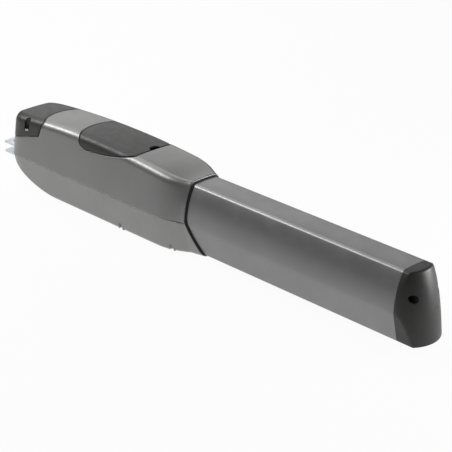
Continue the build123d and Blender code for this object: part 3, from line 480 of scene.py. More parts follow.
def cover_area(h, c, grow):
    """Distance into the area of the release cover: between a bowed rear edge and a straight
    front edge, and on the crown or over the wings' lower edge, which is an upright, an arc and
    a parabola that sags."""
    centre = c.rear_x + c.bow
    bow = c.bow + grow
    front = c.front_x + grow
    r = c.wing_corner + grow
    x0, z0 = c.wing_rear_x - grow, c.wing_bottom_z - grow
    tip_x, tip_z = c.front_x + WING_TIP_X, h.crown_z + WING_TIP_Z - grow

    def field(q):
        x, y, z = q[:, 0], np.abs(q[:, 1]), q[:, 2]
        rear = np.where(x < centre, bow - np.hypot(x - centre, y), 1.0)
        plan = np.minimum(rear, front - x)
        t = np.clip((x - x0 - r) / (tip_x - x0 - r), 0, 1.2)
        sag = z0 + (tip_z - z0) * t - 4 * c.wing_sag * t * (1 - t)
        corner = np.where(z < z0 + r, r - np.hypot(x - x0 - r, z - z0 - r), x - x0)
        wing = np.where(x < x0 + r, corner, z - sag)
        high = z - h.crown_z + CROWN_DEPTH + grow
        crown = np.minimum(c.shoulder_half - y, high)
        rear_crown = np.minimum(np.minimum(c.shoulder_half + REAR_WIDER - y, x0 + r - x), high)
        return np.minimum(plan, np.maximum(np.maximum(wing, crown), rear_crown))
    return field


def outside_of(area):
    return lambda q: -area(q)


def away_from_post(x, y, radius, floor=None):
    """Distance outside an upright round well, or under its floor."""
    def field(q):
        away = np.hypot(q[:, 0] - x, q[:, 1] - y) - radius
        return away if floor is None else np.maximum(away, floor - q[:, 2])
    return field


def outside_box(low, high):
    """Distance outside a box."""
    def field(q):
        return np.maximum(np.array(low) - q, q - np.array(high)).max(1)
    return field


# Meshes


def grid(us, ws):
    """Triangles of a grid over two parameters."""
    u, w = np.meshgrid(us, ws, indexing="ij")
    places = np.stack([u.ravel(), w.ravel()], 1)
    k = np.arange(u.size).reshape(u.shape)
    a, b, c, d = k[:-1, :-1].ravel(), k[1:, :-1].ravel(), k[1:, 1:].ravel(), k[:-1, 1:].ravel()
    return places, np.concatenate([np.stack([a, b, c], 1), np.stack([a, c, d], 1)])


def cut(places, faces, surface, field, level, drop):
    """Cuts triangles where the field passes a level, with the new corners on the true surface.
    Each cut edge is crossed by three steps of false position in the parameters."""
    value = field(surface(places[:, 0], places[:, 1])) - level
    value = np.where(np.abs(value) < 1e-8, 1e-8, value)
    inside = value > 0
    count = inside[faces].sum(1)
    mixed = (count == 1) | (count == 2)
    whole = faces[count == 3] if drop else faces[(count == 3) | (count == 0)]
    part = faces[mixed]
    if len(part) == 0:
        return places, whole
    few = count[mixed] == 1
    lone = inside[part] == few[:, None]
    first = lone.argmax(1)
    order = (first[:, None] + np.arange(3)) % 3
    part = np.take_along_axis(part, order, 1)
    pairs = np.concatenate([part[:, [0, 1]], part[:, [0, 2]]])
    low, high = pairs.min(1), pairs.max(1)
    keys, back = np.unique(low * len(places) + high, return_inverse=True)
    low, high = keys // len(places), keys % len(places)
    t0, t1, v0, v1 = np.zeros(len(keys)), np.ones(len(keys)), value[low], value[high]
    for _ in range(3):
        t = t0 + (t1 - t0) * v0 / (v0 - v1)
        new = places[low] + (places[high] - places[low]) * t[:, None]
        v = field(surface(new[:, 0], new[:, 1])) - level
        same = (v > 0) == (v0 > 0)
        t0, v0 = np.where(same, t, t0), np.where(same, v, v0)
        t1, v1 = np.where(same, t1, t), np.where(same, v1, v)
    back = back.reshape(2, -1) + len(places)
    ab, ac = back[0], back[1]
    tip = np.stack([part[:, 0], ab, ac], 1)
    rest = np.concatenate([np.stack([ab, part[:, 1], part[:, 2]], 1), np.stack([ab, part[:, 2], ac], 1)])
    twice = np.concatenate([few, few])
    made = [whole, tip[few], rest[~twice]]
    if not drop:
        made += [tip[~few], rest[twice]]
    return np.concatenate([places, new]), np.concatenate(made)


def used(faces, *arrays):
    """Drops the corners that no face uses."""
    keep, back = np.unique(faces, return_inverse=True)
    return back.reshape(faces.shape), [a[keep] for a in arrays]


def normals_of(surface, places):
    """Outward unit normals from central differences in both parameters."""
    u, w = places[:, 0], places[:, 1]
    du = surface(u + STEP_ALONG, w) - surface(u - STEP_ALONG, w)
    dw = surface(u, w + STEP_ROUND) - surface(u, w - STEP_ROUND)
    n = np.cross(du, dw)
    size = np.linalg.norm(n, axis=1)
    n[size < 1e-16] = (-1, 0, 0)
    n /= np.linalg.norm(n, axis=1)[:, None]
    return -n


def rim_of(faces):
    """Edges that only one triangle has, in that triangle's direction."""
    edges = np.concatenate([faces[:, [0, 1]], faces[:, [1, 2]], faces[:, [2, 0]]])
    span = faces.max() + 1
    key = np.minimum(edges[:, 0], edges[:, 1]) * span + np.maximum(edges[:, 0], edges[:, 1])
    _, index, count = np.unique(key, return_index=True, return_counts=True)
    return edges[index[count == 1]]


def skin(surface, us, ws, fields, radius, wall):
    """A moulded panel: the surface kept where every field is positive, its edge rolled over a
    quarter circle of the given radius, and closed to a solid one wall thick."""
    places, faces = grid(us, ws)
    for field in fields:
        for turn in (18, 36, 54, 72):
            places, faces = cut(places, faces, surface, field, radius * (1 - sin(radians(turn))), False)
        places, faces = cut(places, faces, surface, field, 0.0, True)
    faces, (places,) = used(faces, places)
    points = surface(places[:, 0], places[:, 1])
    normal = normals_of(surface, places)
    near = np.min([f(points) for f in fields], axis=0)
    near = np.clip(near, 0, radius)
    drop = radius - np.sqrt(np.maximum(radius**2 - (radius - near) ** 2, 0))
    outer = points - normal * drop[:, None]
    inner = points - normal * wall
    faces = faces[:, ::-1]
    rim = rim_of(faces)
    n = len(outer)
    a, b = rim[:, 0], rim[:, 1]
    edge = np.concatenate([np.stack([b, a, a + n], 1), np.stack([b, a + n, b + n], 1)])
    return np.concatenate([outer, inner]), np.concatenate([faces, faces[:, ::-1] + n, edge])


def sweep(us, ws, surface, flip=False):
    """A plain open sheet over two parameters."""
    places, faces = grid(us, ws)
    return surface(places[:, 0], places[:, 1]), faces[:, ::-1] if flip else faces


def disc(centre, radius, axis):
    """A flat round face: rings in polar coordinates about an axis."""
    def surface(r, t):
        c, s = r * np.cos(t), r * np.sin(t)
        zero = np.zeros_like(c)
        flat = np.stack([c, s, zero], 1) if axis == "z" else np.stack([zero, c, s], 1)
        return flat + np.array(centre)
    return sweep(np.array([0.0, radius]), np.linspace(0, 2 * pi, 41), surface)


def joined(*parts):
    """Several meshes as one."""
    points, faces, base = [], [], 0
    for p, f in parts:
        points.append(p)
        faces.append(f + base)
        base += len(p)
    return np.concatenate(points), np.concatenate(faces)


def piece(name, mesh_data, slot, nodes=(), body="operator", sharp=32):
    """Puts a mesh in the scene, smooth but for edges over an angle, hangs it on its body and hides the fixed
    pieces that it stands for.
    """
    points, faces = mesh_data
    mesh = bpy.data.meshes.new(name)
    mesh.vertices.add(len(points))
    mesh.vertices.foreach_set("co", points.astype(np.float32).ravel())
    mesh.loops.add(faces.size)
    mesh.loops.foreach_set("vertex_index", faces.astype(np.int32).ravel())
    mesh.polygons.add(len(faces))
    mesh.polygons.foreach_set("loop_start", np.arange(0, faces.size, 3, dtype=np.int32))
    mesh.update(calc_edges=True)
    mesh.validate()
    work = bmesh.new()
    work.from_mesh(mesh)
    bmesh.ops.remove_doubles(work, verts=work.verts, dist=WELD)
    bmesh.ops.dissolve_degenerate(work, edges=work.edges, dist=WELD)
    work.to_mesh(mesh)
    work.free()
    mesh.polygons.foreach_set("use_smooth", np.ones(len(mesh.polygons), bool))
    mesh.set_sharp_from_angle(angle=radians(sharp))
    mesh.materials.append(finish(slot))
    thing = bpy.data.objects.new(name, mesh)
    bpy.context.scene.collection.objects.link(thing)
    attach(thing, body)
    if nodes:
        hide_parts(*nodes)
    return thing


# Finishes


class Shading:
    """A node tree with short ways to add to it."""

    def __init__(self, tree):
        self.tree = tree

    def node(self, kind, **values):
        """A new node with some of its inputs set."""
        made = self.tree.nodes.new("ShaderNode" + kind)
        for key, value in values.items():
            made.inputs[key.replace("_", " ")].default_value = value
        return made

    def link(self, source, target):
        self.tree.links.new(source, target)

    def maths(self, operation, *sources):
        node = self.node("Math")
        node.operation = operation
        for source, socket in zip(sources, node.inputs):
            if isinstance(source, float):
                socket.default_value = source
            else:
                self.link(source, socket)
        return node.outputs[0]

    def mixed(self, factor, first, second):
        """Mix of two shaders by a factor."""
        node = self.node("MixShader")
        for source, socket in zip((factor, first, second), node.inputs):
            self.link(source, socket)
        return node.outputs[0]


class Finish(Shading):
    """A material with one Principled shader and short ways to feed it."""

    def __init__(self, name):
        self.material = bpy.data.materials.new(name)
        self.material.use_nodes = True
        super().__init__(self.material.node_tree)
        self.shader = self.tree.nodes["Principled BSDF"]
        self.place = self.node("TexCoord").outputs["Object"]

    def set(self, **values):
        for key, value in values.items():
            self.shader.inputs[key.replace("_", " ")].default_value = value
        return self

    def mapped(self, scale):
        """Object coordinates stretched along the axes."""
        node = self.node("Mapping", Scale=scale)
        self.link(self.place, node.inputs["Vector"])
        return node.outputs["Vector"]

    def noise(self, scale, detail, source=None):
        node = self.node("TexNoise", Scale=scale, Detail=detail)
        self.link(source or self.place, node.inputs["Vector"])
        return node.outputs["Fac"]

    def cells(self, scale, output="Color"):
        node = self.node("TexVoronoi", Scale=scale)
        self.link(self.place, node.inputs["Vector"])
        return node.outputs[output]

    def spread(self, value, low, high, to_low, to_high):
        """Maps a stretch of a value to another stretch."""
        node = self.node("MapRange", From_Min=low, From_Max=high, To_Min=to_low, To_Max=to_high)
        self.link(value, node.inputs["Value"])
        return node.outputs["Result"]

    def between(self, factor, first, second):
        """Colour between two colours, or between two sockets, by a factor."""
        node = self.node("Mix")
        node.data_type = "RGBA"
        self.link(factor, node.inputs["Factor"])
        for socket, value in ((node.inputs["A"], first), (node.inputs["B"], second)):
            if isinstance(value, tuple):
                socket.default_value = (*value, 1.0)
            else:
                self.link(value, socket)
        return node.outputs["Result"]

    def tone(self, base, factor, low, high, start=0.3, end=0.7):
        """Colour from a darker to a lighter share of the base, over a stretch of a factor."""
        return self.between(self.spread(factor, start, end, 0, 1), tinted(base, low), tinted(base, high))

    def feed(self, key, value):
        self.link(value, self.shader.inputs[key])
        return self

    def seen_white(self, s):
        """Shows white to the camera and through glass, and in reflections near the axis, with a
        share of the lit surface left. The reflections' white fades with the distance from it."""
        path = self.node("LightPath").outputs
        split = self.node("SeparateXYZ")
        self.link(self.place, split.inputs[0])
        aside = self.maths("ABSOLUTE", split.outputs["Y"])
        fade = self.spread(aside, s.mirror_near, s.mirror_far, 1.0, s.mirror_rest)
        seen = self.maths("MAXIMUM", path["Is Camera Ray"], path["Is Transmission Ray"])
        seen = self.maths("MAXIMUM", seen, self.maths("MULTIPLY", path["Is Glossy Ray"], fade))
        share = self.maths("MULTIPLY", seen, s.floor_white)
        white = self.node("Emission").outputs[0]
        surface = self.tree.nodes["Material Output"].inputs["Surface"]
        self.link(self.mixed(share, self.shader.outputs[0], white), surface)

    def bump(self, height, distance, strength):
        node = self.node("Bump", Distance=distance, Strength=strength)
        self.link(height, node.inputs["Height"])
        if self.shader.inputs["Normal"].is_linked:
            self.link(self.shader.inputs["Normal"].links[0].from_socket, node.inputs["Normal"])
        return self.feed("Normal", node.outputs["Normal"])


def tinted(base, share):
    return tuple(min(1.0, c * share) for c in base)


def satin_paint(name, base):
    """Metallic paint: fine flake, slight clouding, and a faint orange peel under a thin coat."""
    f = Finish(name)
    tone = f.tone(base, f.noise(14, 4), 0.955, 1.045)
    f.feed("Base Color", f.between(f.spread(f.cells(2600), 0.55, 1.0, 0.0, 0.22), tone, tinted(base, 1.75)))
    f.feed("Roughness", f.spread(f.noise(55, 5), 0.3, 0.7, 0.33, 0.41))
    f.bump(f.noise(620, 2), 0.00002, 0.5)
    return f.set(Metallic=0.8, Coat_Weight=0.10, Coat_Roughness=0.25, Specular_IOR_Level=0.3).material


def moulded(name, base, grain=1100, rough=(0.37, 0.47), depth=0.00004, coat=0.0):
    """Moulded plastic: spark-eroded grain, slight sheen changes and dusty high spots."""
    f = Finish(name)
    f.feed("Base Color", f.tone(base, f.noise(22, 5), 0.88, 1.14, end=0.72))
    f.feed("Roughness", f.spread(f.noise(90, 4), 0.3, 0.7, *rough))
    f.bump(f.noise(grain, 3), depth, 0.6)
    f.bump(f.cells(grain * 0.9, "Distance"), depth * 0.6, 0.4)
    return f.set(Coat_Weight=coat, Coat_Roughness=0.3, Specular_IOR_Level=0.5).material


def galvanised(name, base):
    """Hot-dip zinc: spangle cells of slightly different grey, with clouds and soft runs."""
    f = Finish(name)
    cells = f.cells(120)
    tone = f.tone(base, cells, 0.80, 1.18, 0.1, 0.9)
    f.feed("Base Color", f.between(f.spread(f.noise(40, 4), 0.35, 0.7, 0, 0.5), tone, tinted(base, 1.1)))
    f.feed("Roughness", f.spread(cells, 0, 1, 0.34, 0.52))
    f.bump(f.noise(180, 3), 0.00006, 0.5)
    return f.set(Metallic=0.85).material


def turned(name, base, rough=0.34, stretch=(900, 40, 40)):
    """Turned or drawn metal: fine rings or drawn lines across one axis, with a faint tarnish."""
    f = Finish(name)
    rings = f.noise(1.0, 3, f.mapped(stretch))
    f.feed("Base Color", f.tone(base, f.noise(60, 4), 0.82, 1.08))
    f.feed("Roughness", f.spread(rings, 0.3, 0.7, rough - 0.07, rough + 0.09))
    f.bump(rings, 0.00001, 0.5)
    return f.set(Metallic=1.0).material


def cast(name, base):
    """Die-cast alloy: fine skin texture, flow clouds and duller hollows."""
    f = Finish(name)
    f.feed("Base Color", f.tone(base, f.noise(35, 5), 0.78, 1.08))
    f.feed("Roughness", f.spread(f.noise(110, 4), 0.3, 0.7, 0.42, 0.6))
    f.bump(f.noise(520, 4), 0.00008, 0.6)
    return f.set(Metallic=0.9).material


made_finishes = {}


def finish(slot):
    """The finish of a material slot, made once."""
    if slot in made_finishes:
        return made_finishes[slot]
    look = settings()[4]
    base = slot_colours.get(slot, (0.5, 0.5, 0.5))
    makers = {
        "housing_paint": lambda: satin_paint("housing_paint", tuple(look.paint)),
        "beam_paint": lambda: satin_paint("beam_paint", tuple(look.beam_paint)),
        "dark_plastic": lambda: moulded("charcoal_plastic", tuple(look.charcoal)),
        "black_plastic": lambda: moulded("black_plastic", tuple(look.black), rough=(0.5, 0.62)),
        "red_plastic": lambda: moulded("red_plastic", base, grain=700, rough=(0.3, 0.42)),
        "white_plastic": lambda: moulded("acetal", base, grain=500, rough=(0.3, 0.4), depth=0.00001),
        "terminal_plastic": lambda: moulded("terminal_green", base, grain=700, rough=(0.35, 0.5)),
        "rubber": lambda: moulded("rubber", (0.006, 0.006, 0.006), grain=800, rough=(0.6, 0.75)),
        "galvanised": lambda: galvanised("galvanised", tuple(look.galvanised)),
        "zinc": lambda: turned("zinc_plate", base, 0.3),
        "gear_steel": lambda: turned("gear_steel", base),
        "motor_steel": lambda: moulded("electro_coat", base, grain=500, rough=(0.3, 0.42), coat=0.3),
        "cast_alloy": lambda: cast("cast_alloy", base),
        "bronze": lambda: turned("bronze", base),
        "brass_lock": lambda: turned("lock_brass", base, 0.28, (40, 40, 900)),
    }
    made_finishes[slot] = makers[slot]()
    return made_finishes[slot]


# Stations and parameters


def steps(*counts):
    """Parameters over the stretches 0..1, 1..2 and on, with a number of places on each."""
    runs = [k + np.linspace(0, 1, count)[:-1] for k, count in enumerate(counts)]
    return np.append(np.concatenate(runs), len(counts))


def both_sides(half, middle):
    return np.concatenate([half, 2 * middle - half[-2::-1]])


def along_housing(h, end):
    """Stations along the housing, closer together at the nose."""
    share = np.linspace(0.32, 0.975, 26)
    nose = h.rear_x + h.nose_length * (1 - (1 - share**NOSE_POWER) ** (1 / NOSE_POWER))
    nose = nose[nose > h.rear_x + NOSE_START]
    closing = h.rear_x + NOSE_START - np.linspace(0.995 * NOSE_CLOSING, 0.0, 7)
    rest = np.arange(nose[-1] + NOSE_STATION, end, STATION)
    return np.concatenate([closing, nose, rest, [end]])


def round_upper():
    """Parameters from crease to crease over the top: facet, shoulder and crown."""
    return both_sides(steps(25, 13, 17), 3)


def round_lower():
    """Parameters from crease to crease under the housing."""
    return both_sides(steps(21, 9, 15), 3)


def round_beam():
    """Parameters once round the beam, over its top and back under it."""
    return np.concatenate([round_upper(), both_sides(6 + steps(9, 7, 8), 9)[1:]])


# Operators


class OPENER_OT_shells(bpy.types.Operator):
    """Make the two painted shells of the housing, cut for the covers, the mouth and the screws"""

    bl_idname = "opener.shells"
    bl_label = "Housing shells"

    def execute(self, context):
        beam, h, c, *_ = settings()
        seam = seam_of(beam)
        edge = front_edge(beam, h, 0.0)
        mouth = outside_box((-1, -MOUTH_HALF, -MOUTH_HIGH), (MOUTH_END, MOUTH_HALF, MOUTH_HIGH))
        stations = along_housing(h, h.collar_x + h.chin_reach + 0.002)

        def above(q):
            return q[:, 2] - seam - SEAM_GAP

        def below(q):
            return seam - SEAM_GAP - q[:, 2]

        fields = [above, edge, outside_of(cap_area(c, h.gap)), outside_of(cover_area(h, c, h.gap)), mouth]
        upper = skin(housing_surface(beam, h, True), stations, round_upper(), fields, h.edge_radius, h.wall)
        piece("upper_shell_skin", upper, "housing_paint", ["upper_shell"])
        wells = [(x, s * self.well_y(beam, h, x)) for x in (h.middle_well_x, h.front_well_x) for s in (-1, 1)]
        fields = [below, edge, mouth]
        fields += [away_from_post(x, y, h.well_radius) for x, y in wells]
        fields += [away_from_post(ENTRY_X, 0.0, ENTRY_RADIUS)]
        shape = housing_surface(beam, h, False)
        parts = [skin(shape, stations, round_lower(), fields, h.edge_radius * 0.6, h.wall)]
        for x, y in wells:
            parts.append(self.well(beam, h, x, y))
            parts.append(disc((x, y, h.bottom_z + h.well_depth), h.well_radius, "z"))
        piece("lower_shell_skin", joined(*parts), "housing_paint", ["lower_shell"])
        fields = [cap_area(c, LEDGE_PAST), outside_of(cap_area(c, -LEDGE_UNDER)), above, mouth]
        stations = along_housing(h, c.cap_front_x + 0.01)
        ledge = skin(housing_surface(beam, h, True, h.wall + LEDGE_STEP), stations, round_upper(), fields,
                     LEDGE_EDGE, LEDGE_WALL)
        piece("rear_cap_ledge", ledge, "black_plastic")
        return {"FINISHED"}

    @staticmethod
    def well_y(beam, h, x):
        half, _, _ = housing_laws(beam, h, np.array([x]))
        return half[0] - h.well_inset

    @staticmethod
    def well(beam, h, x, y):
        """Wall of a screw well, from the housing's underside at that place up to the well's top."""
        down = lean_down(beam)
        seam = seam_of(beam)

        def surface(t, turn):
            px = x + h.well_radius * np.cos(turn)
            py = y + h.well_radius * np.sin(turn)
            half, _, bottom = housing_laws(beam, h, px)
            facet = seam - (half - np.abs(py)) / down
            low = np.maximum(bottom, facet) + WALL_SINK
            return np.stack([px, py, low + (h.bottom_z + h.well_depth - low) * t], 1)
        return sweep(np.linspace(0, 1, 4), np.linspace(0, 2 * pi, 41), surface)


class OPENER_OT_covers(bpy.types.Operator):
    """Make the rear cap with its screw slots and the release cover with its wings and notch"""

    bl_idname = "opener.covers"
    bl_label = "Rear cap and release cover"

    def execute(self, context):
        beam, h, c, *_ = settings()
        shape = housing_surface(beam, h, True)
        seam = seam_of(beam)
        half, _, _ = housing_laws(beam, h, np.array([c.cap_well_x]))
        well_y = half[0] - h.lean * (c.cap_well_floor + WELL_CATCH - seam) - WELL_CLEAR
        reach = half[0] - h.lean * (c.cap_well_floor - seam) - SHELF_CLEAR
        mouth = outside_box((-1, -CAP_MOUTH_HALF, -MOUTH_HIGH), (MOUTH_END, CAP_MOUTH_HALF, MOUTH_HIGH))
        fields = [cap_area(c, 0.0), mouth]
        fields += [away_from_post(c.cap_well_x, y, c.cap_well_radius, c.cap_well_floor)
                   for y in (-well_y, well_y)]
        stations = along_housing(h, c.cap_front_x + 0.003)
        cap = [skin(shape, stations, round_upper(), fields, h.edge_radius, COVER_WALL)]
        for y in (-well_y, well_y):
            cap.append(self.slot(beam, h, c, y))
            ledge = disc((c.cap_well_x, y, c.cap_well_floor), c.cap_well_radius, "z")
            ledge[0][:, 1] = np.clip(ledge[0][:, 1], -reach, reach)
            cap.append(ledge)
        piece("rear_cap_skin", joined(*cap), "dark_plastic", ["rear_cap"])
        fields = [cover_area(h, c, 0.0), away_from_post(c.front_x, c.notch_y, c.notch)]
        stations = np.arange(c.rear_x - 0.003, c.front_x + 0.0026, COVER_STATION)
        cover = skin(shape, stations, round_upper(), fields, h.edge_radius, COVER_WALL)
        piece("release_cover_skin", cover, "dark_plastic", ["release_cover"], "cover")
        return {"FINISHED"}

    @staticmethod
    def slot(beam, h, c, y):
        """Wall of a screw slot, from its ledge up to the housing's skin, which is the crown or
        the shoulder there; on the outer side the skin is lower and the slot stays open."""
        def surface(t, turn):
            px = c.cap_well_x + c.cap_well_radius * np.cos(turn)
            py = np.abs(y + c.cap_well_radius * np.sin(turn))
            half, top, _ = housing_laws(beam, h, px)
            radius = shoulder_of(h, px)
            best = np.full(len(px), -1.0)
            for a in np.linspace(0, 3, 241):
                oy, oz = upper_outline(beam, np.full(len(px), a), half, top, radius, h.crown_radius, h.lean)
                best = np.where(oy <= py, oz, best)
            rise = np.maximum(best - WALL_SINK - c.cap_well_floor, 0)
            return np.stack([px, y + c.cap_well_radius * np.sin(turn), c.cap_well_floor + rise * t], 1)
        return sweep(np.linspace(0, 1, 3), np.linspace(0, 2 * pi, 49), surface)


class OPENER_OT_beam(bpy.types.Operator):
    """Make the slotted beam and the rubber gasket round it"""

    bl_idname = "opener.beam"
    bl_label = "Beam and gasket"

    def execute(self, context):
        beam, h, *_ = settings()
        ws = round_beam()
        outside = beam_surface(beam, 0.0)
        inside = beam_surface(beam, -beam.wall)
        slot = beam.slot_width / 2

        def clear(q):
            """Distance outside the slot, on the underside alone."""
            return np.where(q[:, 2] > 0, 1.0, np.abs(q[:, 1]) - slot)

        parts = []
        xs = np.array([beam.rear_x, beam.rear_x + 0.2, beam.front_x])
        for shape, flip in ((outside, True), (inside, False)):
            places, faces = grid(xs, ws)
            places, faces = cut(places, faces, shape, clear, 0.0, True)
            faces, (places,) = used(faces, places)
            parts.append((shape(places[:, 0], places[:, 1]), faces[:, ::-1] if flip else faces))
        low, high = beam.bottom_z, beam.bottom_z + beam.wall
        for side in (-1, 1):
            parts.append(sweep(np.array([beam.rear_x, beam.front_x]), np.array([low, high]),
                               lambda x, z: np.stack([x, np.full_like(x, side * slot), z], 1), side > 0))
        for x, flip in ((beam.rear_x, False), (beam.front_x, True)):
            ring = ws[np.abs(outside(np.zeros_like(ws), ws)[:, 1]) > slot * (outside(ws, ws)[:, 2] < 0)]
            for run in (ring[ring < RIM_STOP], ring[ring > 18 - RIM_STOP]):
                def rim(t, w, x=x):
                    a, b = outside(np.full_like(w, x), w), inside(np.full_like(w, x), w)
                    return a + (b - a) * t[:, None]
                parts.append(sweep(np.array([0.0, 1.0]), run, rim, flip))
        piece("beam_extrusion", joined(*parts), "beam_paint", ["beam"], sharp=15)
        band = beam_surface(beam, h.gasket)
        xs = np.arange(h.collar_x - 0.01, h.collar_x + h.chin_reach + 0.006, GASKET_STATION)
        fields = [front_edge(beam, h, h.gasket_show)]
        rubber = skin(band, xs, ws, fields, GASKET_EDGE, h.gasket - GASKET_PLAY)
        piece("gasket_band", rubber, "rubber", ["beam_gasket"])
        return {"FINISHED"}


class OPENER_OT_front_cap(bpy.types.Operator):
    """Make the front cap, with a leaning round nose and two screw wells"""

    bl_idname = "opener.front_cap"
    bl_label = "Front cap"

    def execute(self, context):
        beam, _, _, cap, *_ = settings()
        low = beam.bottom_z - CAP_SPARE
        span = beam.height + 2 * CAP_SPARE
        outline = beam_surface(beam, 0.0)
        start = beam.front_x + CAP_PLAY
        middle = np.array([0.0, beam.bottom_z + beam.height / 2])

        def nose(y, z):
            """Front face: a circle in plan, whose radius and reach fall with height."""
            share = (z - low) / span
            tip = beam.front_x + cap.reach - cap.lean * share - cap.bulge * share**3
            radius = cap.low_radius + (cap.top_radius - cap.low_radius) * share
            return tip - radius + np.sqrt(radius**2 - np.minimum(np.abs(y), radius - 0.001) ** 2)

        def surface(u, w):
            """u 0..1 runs along the side, 1..2 round the edge and 2..3 in to the middle."""
            ring = outline(np.zeros_like(w), w)[:, 1:]
            toward = middle - ring
            away = np.linalg.norm(toward, axis=1)
            toward /= away[:, None]
            bend = np.clip(u - 1, 0, 1) * pi / 2
            inset = cap.edge * (1 - np.cos(bend)) + (away - cap.edge) * np.clip(u - 2, 0, 0.9999)
            spot = ring + toward * inset[:, None]
            front = nose(spot[:, 0], spot[:, 1])
            edge_x = front - cap.edge * (1 - np.sin(bend))
            x = np.where(u < 1, start + (edge_x - start) * np.clip(u, 0, 1), edge_x)
            return np.stack([x, spot[:, 0], spot[:, 1]], 1)

        seat = beam.front_x + cap.depth
        floor = beam.front_x + 0.004
        fields = [self.post(y, cap.screw_z, cap.well, floor) for y in (-cap.screw_y, cap.screw_y)]
        parts = [skin(surface, steps(5, 9, 26), round_beam(), fields, CAP_WELL_EDGE, CAP_WALL)]
        for y in (-cap.screw_y, cap.screw_y):
            def wall(t, turn, y=y):
                """Wall of a screw well, from its seat to the front face."""
                py, pz = y + cap.well * np.cos(turn), cap.screw_z + cap.well * np.sin(turn)
                return np.stack([seat + (nose(py, pz) - CAP_WELL_EDGE - seat) * t, py, pz], 1)
            parts.append(sweep(np.linspace(0, 1, 4), np.linspace(0, 2 * pi, 41), wall))
            parts.append(disc((seat, y, cap.screw_z), cap.well, "x"))
        piece("front_cap_skin", joined(*parts), "dark_plastic", ["front_cap"], sharp=15)
        return {"FINISHED"}

    @staticmethod
    def post(y, z, radius, floor):
        """Distance outside a round well that runs along the beam, or behind its floor."""
        def field(q):
            return np.maximum(np.hypot(q[:, 1] - y, q[:, 2] - z) - radius, floor - q[:, 0])
        return field


class OPENER_OT_nodes(bpy.types.Operator):
    """Give every piece of the fixed model that stays its own finish"""

    bl_idname = "opener.nodes"
    bl_label = "Finishes of the fixed pieces"

    def execute(self, context):
        slots = {s["node"]: s["material_slot"] for s in frame["record"]["subparts"]}
        for name, thing in frame["nodes"].items():
            material = finish(slots[name])
            if not thing.material_slots:
                raise RuntimeError(f"{name} has no material slot")
            for place in thing.material_slots:
                place.material = material
        return {"FINISHED"}


def put_down(name, data, place, axes):
    """Puts a camera or a lamp at a place, with its own axes along three given ones."""
    thing = bpy.data.objects.new(name, data)
    thing.matrix_world = Matrix.Translation(Vector(place)) @ Matrix(axes).transposed().to_4x4()
    bpy.context.scene.collection.objects.link(thing)
    return thing


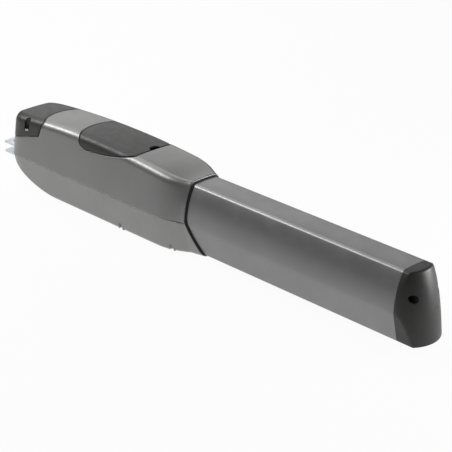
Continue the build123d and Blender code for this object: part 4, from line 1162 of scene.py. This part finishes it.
class OPENER_OT_stage(bpy.types.Operator):
    """Set the pale floor, the soft lamps, the even sky and the camera"""

    bl_idname = "opener.stage"
    bl_label = "Stage"

    def execute(self, context):
        h, s = settings()[1], settings()[5]
        scene = context.scene
        scene.view_settings.view_transform = "Standard"
        self.camera(scene, s)
        self.floor(h.bottom_z, s)
        self.sky(scene, s)
        self.lamp("top_lamp", (-0.55, 0.22, 1.4), (0.42, 0.0, 0.06), (1.7, 0.9), s.top_light)
        self.lamp("ridge_lamp", (-0.63, -0.68, 1.07), (0.42, -0.03, 0.06), (1.5, 0.3), s.ridge_light)
        self.lamp("far_lamp", (-0.76, 1.14, 0.78), (0.42, 0.0, 0.06), (1.5, 0.8), s.far_light)
        self.lamp("front_lamp", (1.35, 0.62, 0.2), (0.88, 0.0, 0.02), (0.5, 0.3), s.front_light)
        return {"FINISHED"}

    @staticmethod
    def camera(scene, s):
        """Camera axes from azimuth, elevation and roll about the view axis."""
        level = cos(s.elevation)
        back = Vector((sin(s.azimuth) * level, -cos(s.azimuth) * level, sin(s.elevation)))
        right = Vector((cos(s.azimuth), sin(s.azimuth), 0.0))
        up = back.cross(right)
        turned_right = right * cos(s.roll) + up * sin(s.roll)
        turned_up = up * cos(s.roll) - right * sin(s.roll)
        data = bpy.data.cameras.new("camera")
        data.lens = s.lens
        data.sensor_width = 36
        scene.camera = put_down("camera", data, s.place, (turned_right, turned_up, back))

    @staticmethod
    def lamp(name, place, target, size, power):
        """A soft rectangle that faces its target, with its first side level and along the opener
        as far as its aim allows."""
        data = bpy.data.lights.new(name, "AREA")
        data.shape = "RECTANGLE"
        data.size, data.size_y = size
        data.energy = power
        back = (Vector(place) - Vector(target)).normalized()
        side = (Vector((1, 0, 0)) - back * back.x).normalized()
        put_down(name, data, place, (side, back.cross(side), back))

    @staticmethod
    def floor(level, s):
        """A round pale floor, nearly white to the camera, with the opener's shadow."""
        def surface(r, t):
            return np.stack([FLOOR_X + r * np.cos(t), r * np.sin(t), np.full_like(r, level - FLOOR_DROP)], 1)
        points, faces = sweep(np.linspace(0, FLOOR_RADIUS, 4), np.linspace(0, 2 * pi, 65), surface)
        mesh = bpy.data.meshes.new("floor")
        mesh.from_pydata(points.tolist(), [], faces.tolist())
        f = Finish("pale_floor")
        tone = f.spread(f.noise(3, 3), 0.3, 0.7, 0, 1)
        f.feed("Base Color", f.between(tone, (0.83, 0.83, 0.83), (0.87, 0.87, 0.87)))
        f.set(Roughness=0.9, Specular_IOR_Level=0.1)
        f.seen_white(s)
        mesh.materials.append(f.material)
        thing = bpy.data.objects.new("floor", mesh)
        bpy.context.scene.collection.objects.link(thing)

    @staticmethod
    def sky(scene, s):
        """Even pale light. The camera and glass see it white, and reflections see it dimmer."""
        world = bpy.data.worlds.new("sky")
        world.use_nodes = True
        t = Shading(world.node_tree)
        t.tree.nodes.clear()
        path = t.node("LightPath").outputs
        seen = t.maths("MAXIMUM", path["Is Camera Ray"], path["Is Transmission Ray"])
        levels = (s.sky, s.mirrored_sky, 1.0)
        lit, mirrored, white = [t.node("Background", Color=(1, 1, 1, 1), Strength=level).outputs[0]
                                for level in levels]
        behind = t.mixed(path["Is Glossy Ray"], lit, mirrored)
        t.link(t.mixed(seen, behind, white), t.node("OutputWorld").inputs["Surface"])
        scene.world = world


class OPENER_PT_panel(bpy.types.Panel):
    """Lists the steps that build the opener"""

    bl_idname = "OPENER_PT_panel"
    bl_label = "Swing gate opener"
    bl_space_type = "VIEW_3D"
    bl_region_type = "UI"
    bl_category = "Opener"

    def draw(self, context):
        for step in STEPS:
            self.layout.operator(f"opener.{step}")
        for group in GROUPS:
            box = self.layout.box()
            values = getattr(context.scene, group)
            for key in values.bl_rna.properties.keys():
                if key not in {"rna_type", "name"}:
                    box.prop(values, key, text=key.replace("_", " ").capitalize())


STEPS = ("nodes", "shells", "covers", "beam", "front_cap", "stage")
GROUPS = {
    "opener_beam": OpenerBeam,
    "opener_housing": OpenerHousing,
    "opener_covers": OpenerCovers,
    "opener_front_cap": OpenerFrontCap,
    "opener_finish": OpenerFinish,
    "opener_stage": OpenerStage,
}
CLASSES = (OPENER_OT_nodes, OPENER_OT_shells, OPENER_OT_covers, OPENER_OT_beam, OPENER_OT_front_cap,
           OPENER_OT_stage, OPENER_PT_panel)


def register():
    for name, group in GROUPS.items():
        bpy.utils.register_class(group)
        setattr(bpy.types.Scene, name, PointerProperty(type=group))
    for item in CLASSES:
        bpy.utils.register_class(item)


def unregister():
    for item in reversed(CLASSES):
        bpy.utils.unregister_class(item)
    for name, group in GROUPS.items():
        delattr(bpy.types.Scene, name)
        bpy.utils.unregister_class(group)


def main():
    register()
    for step in STEPS:
        getattr(bpy.ops.opener, step)()


if __name__ == "__main__":
    main()
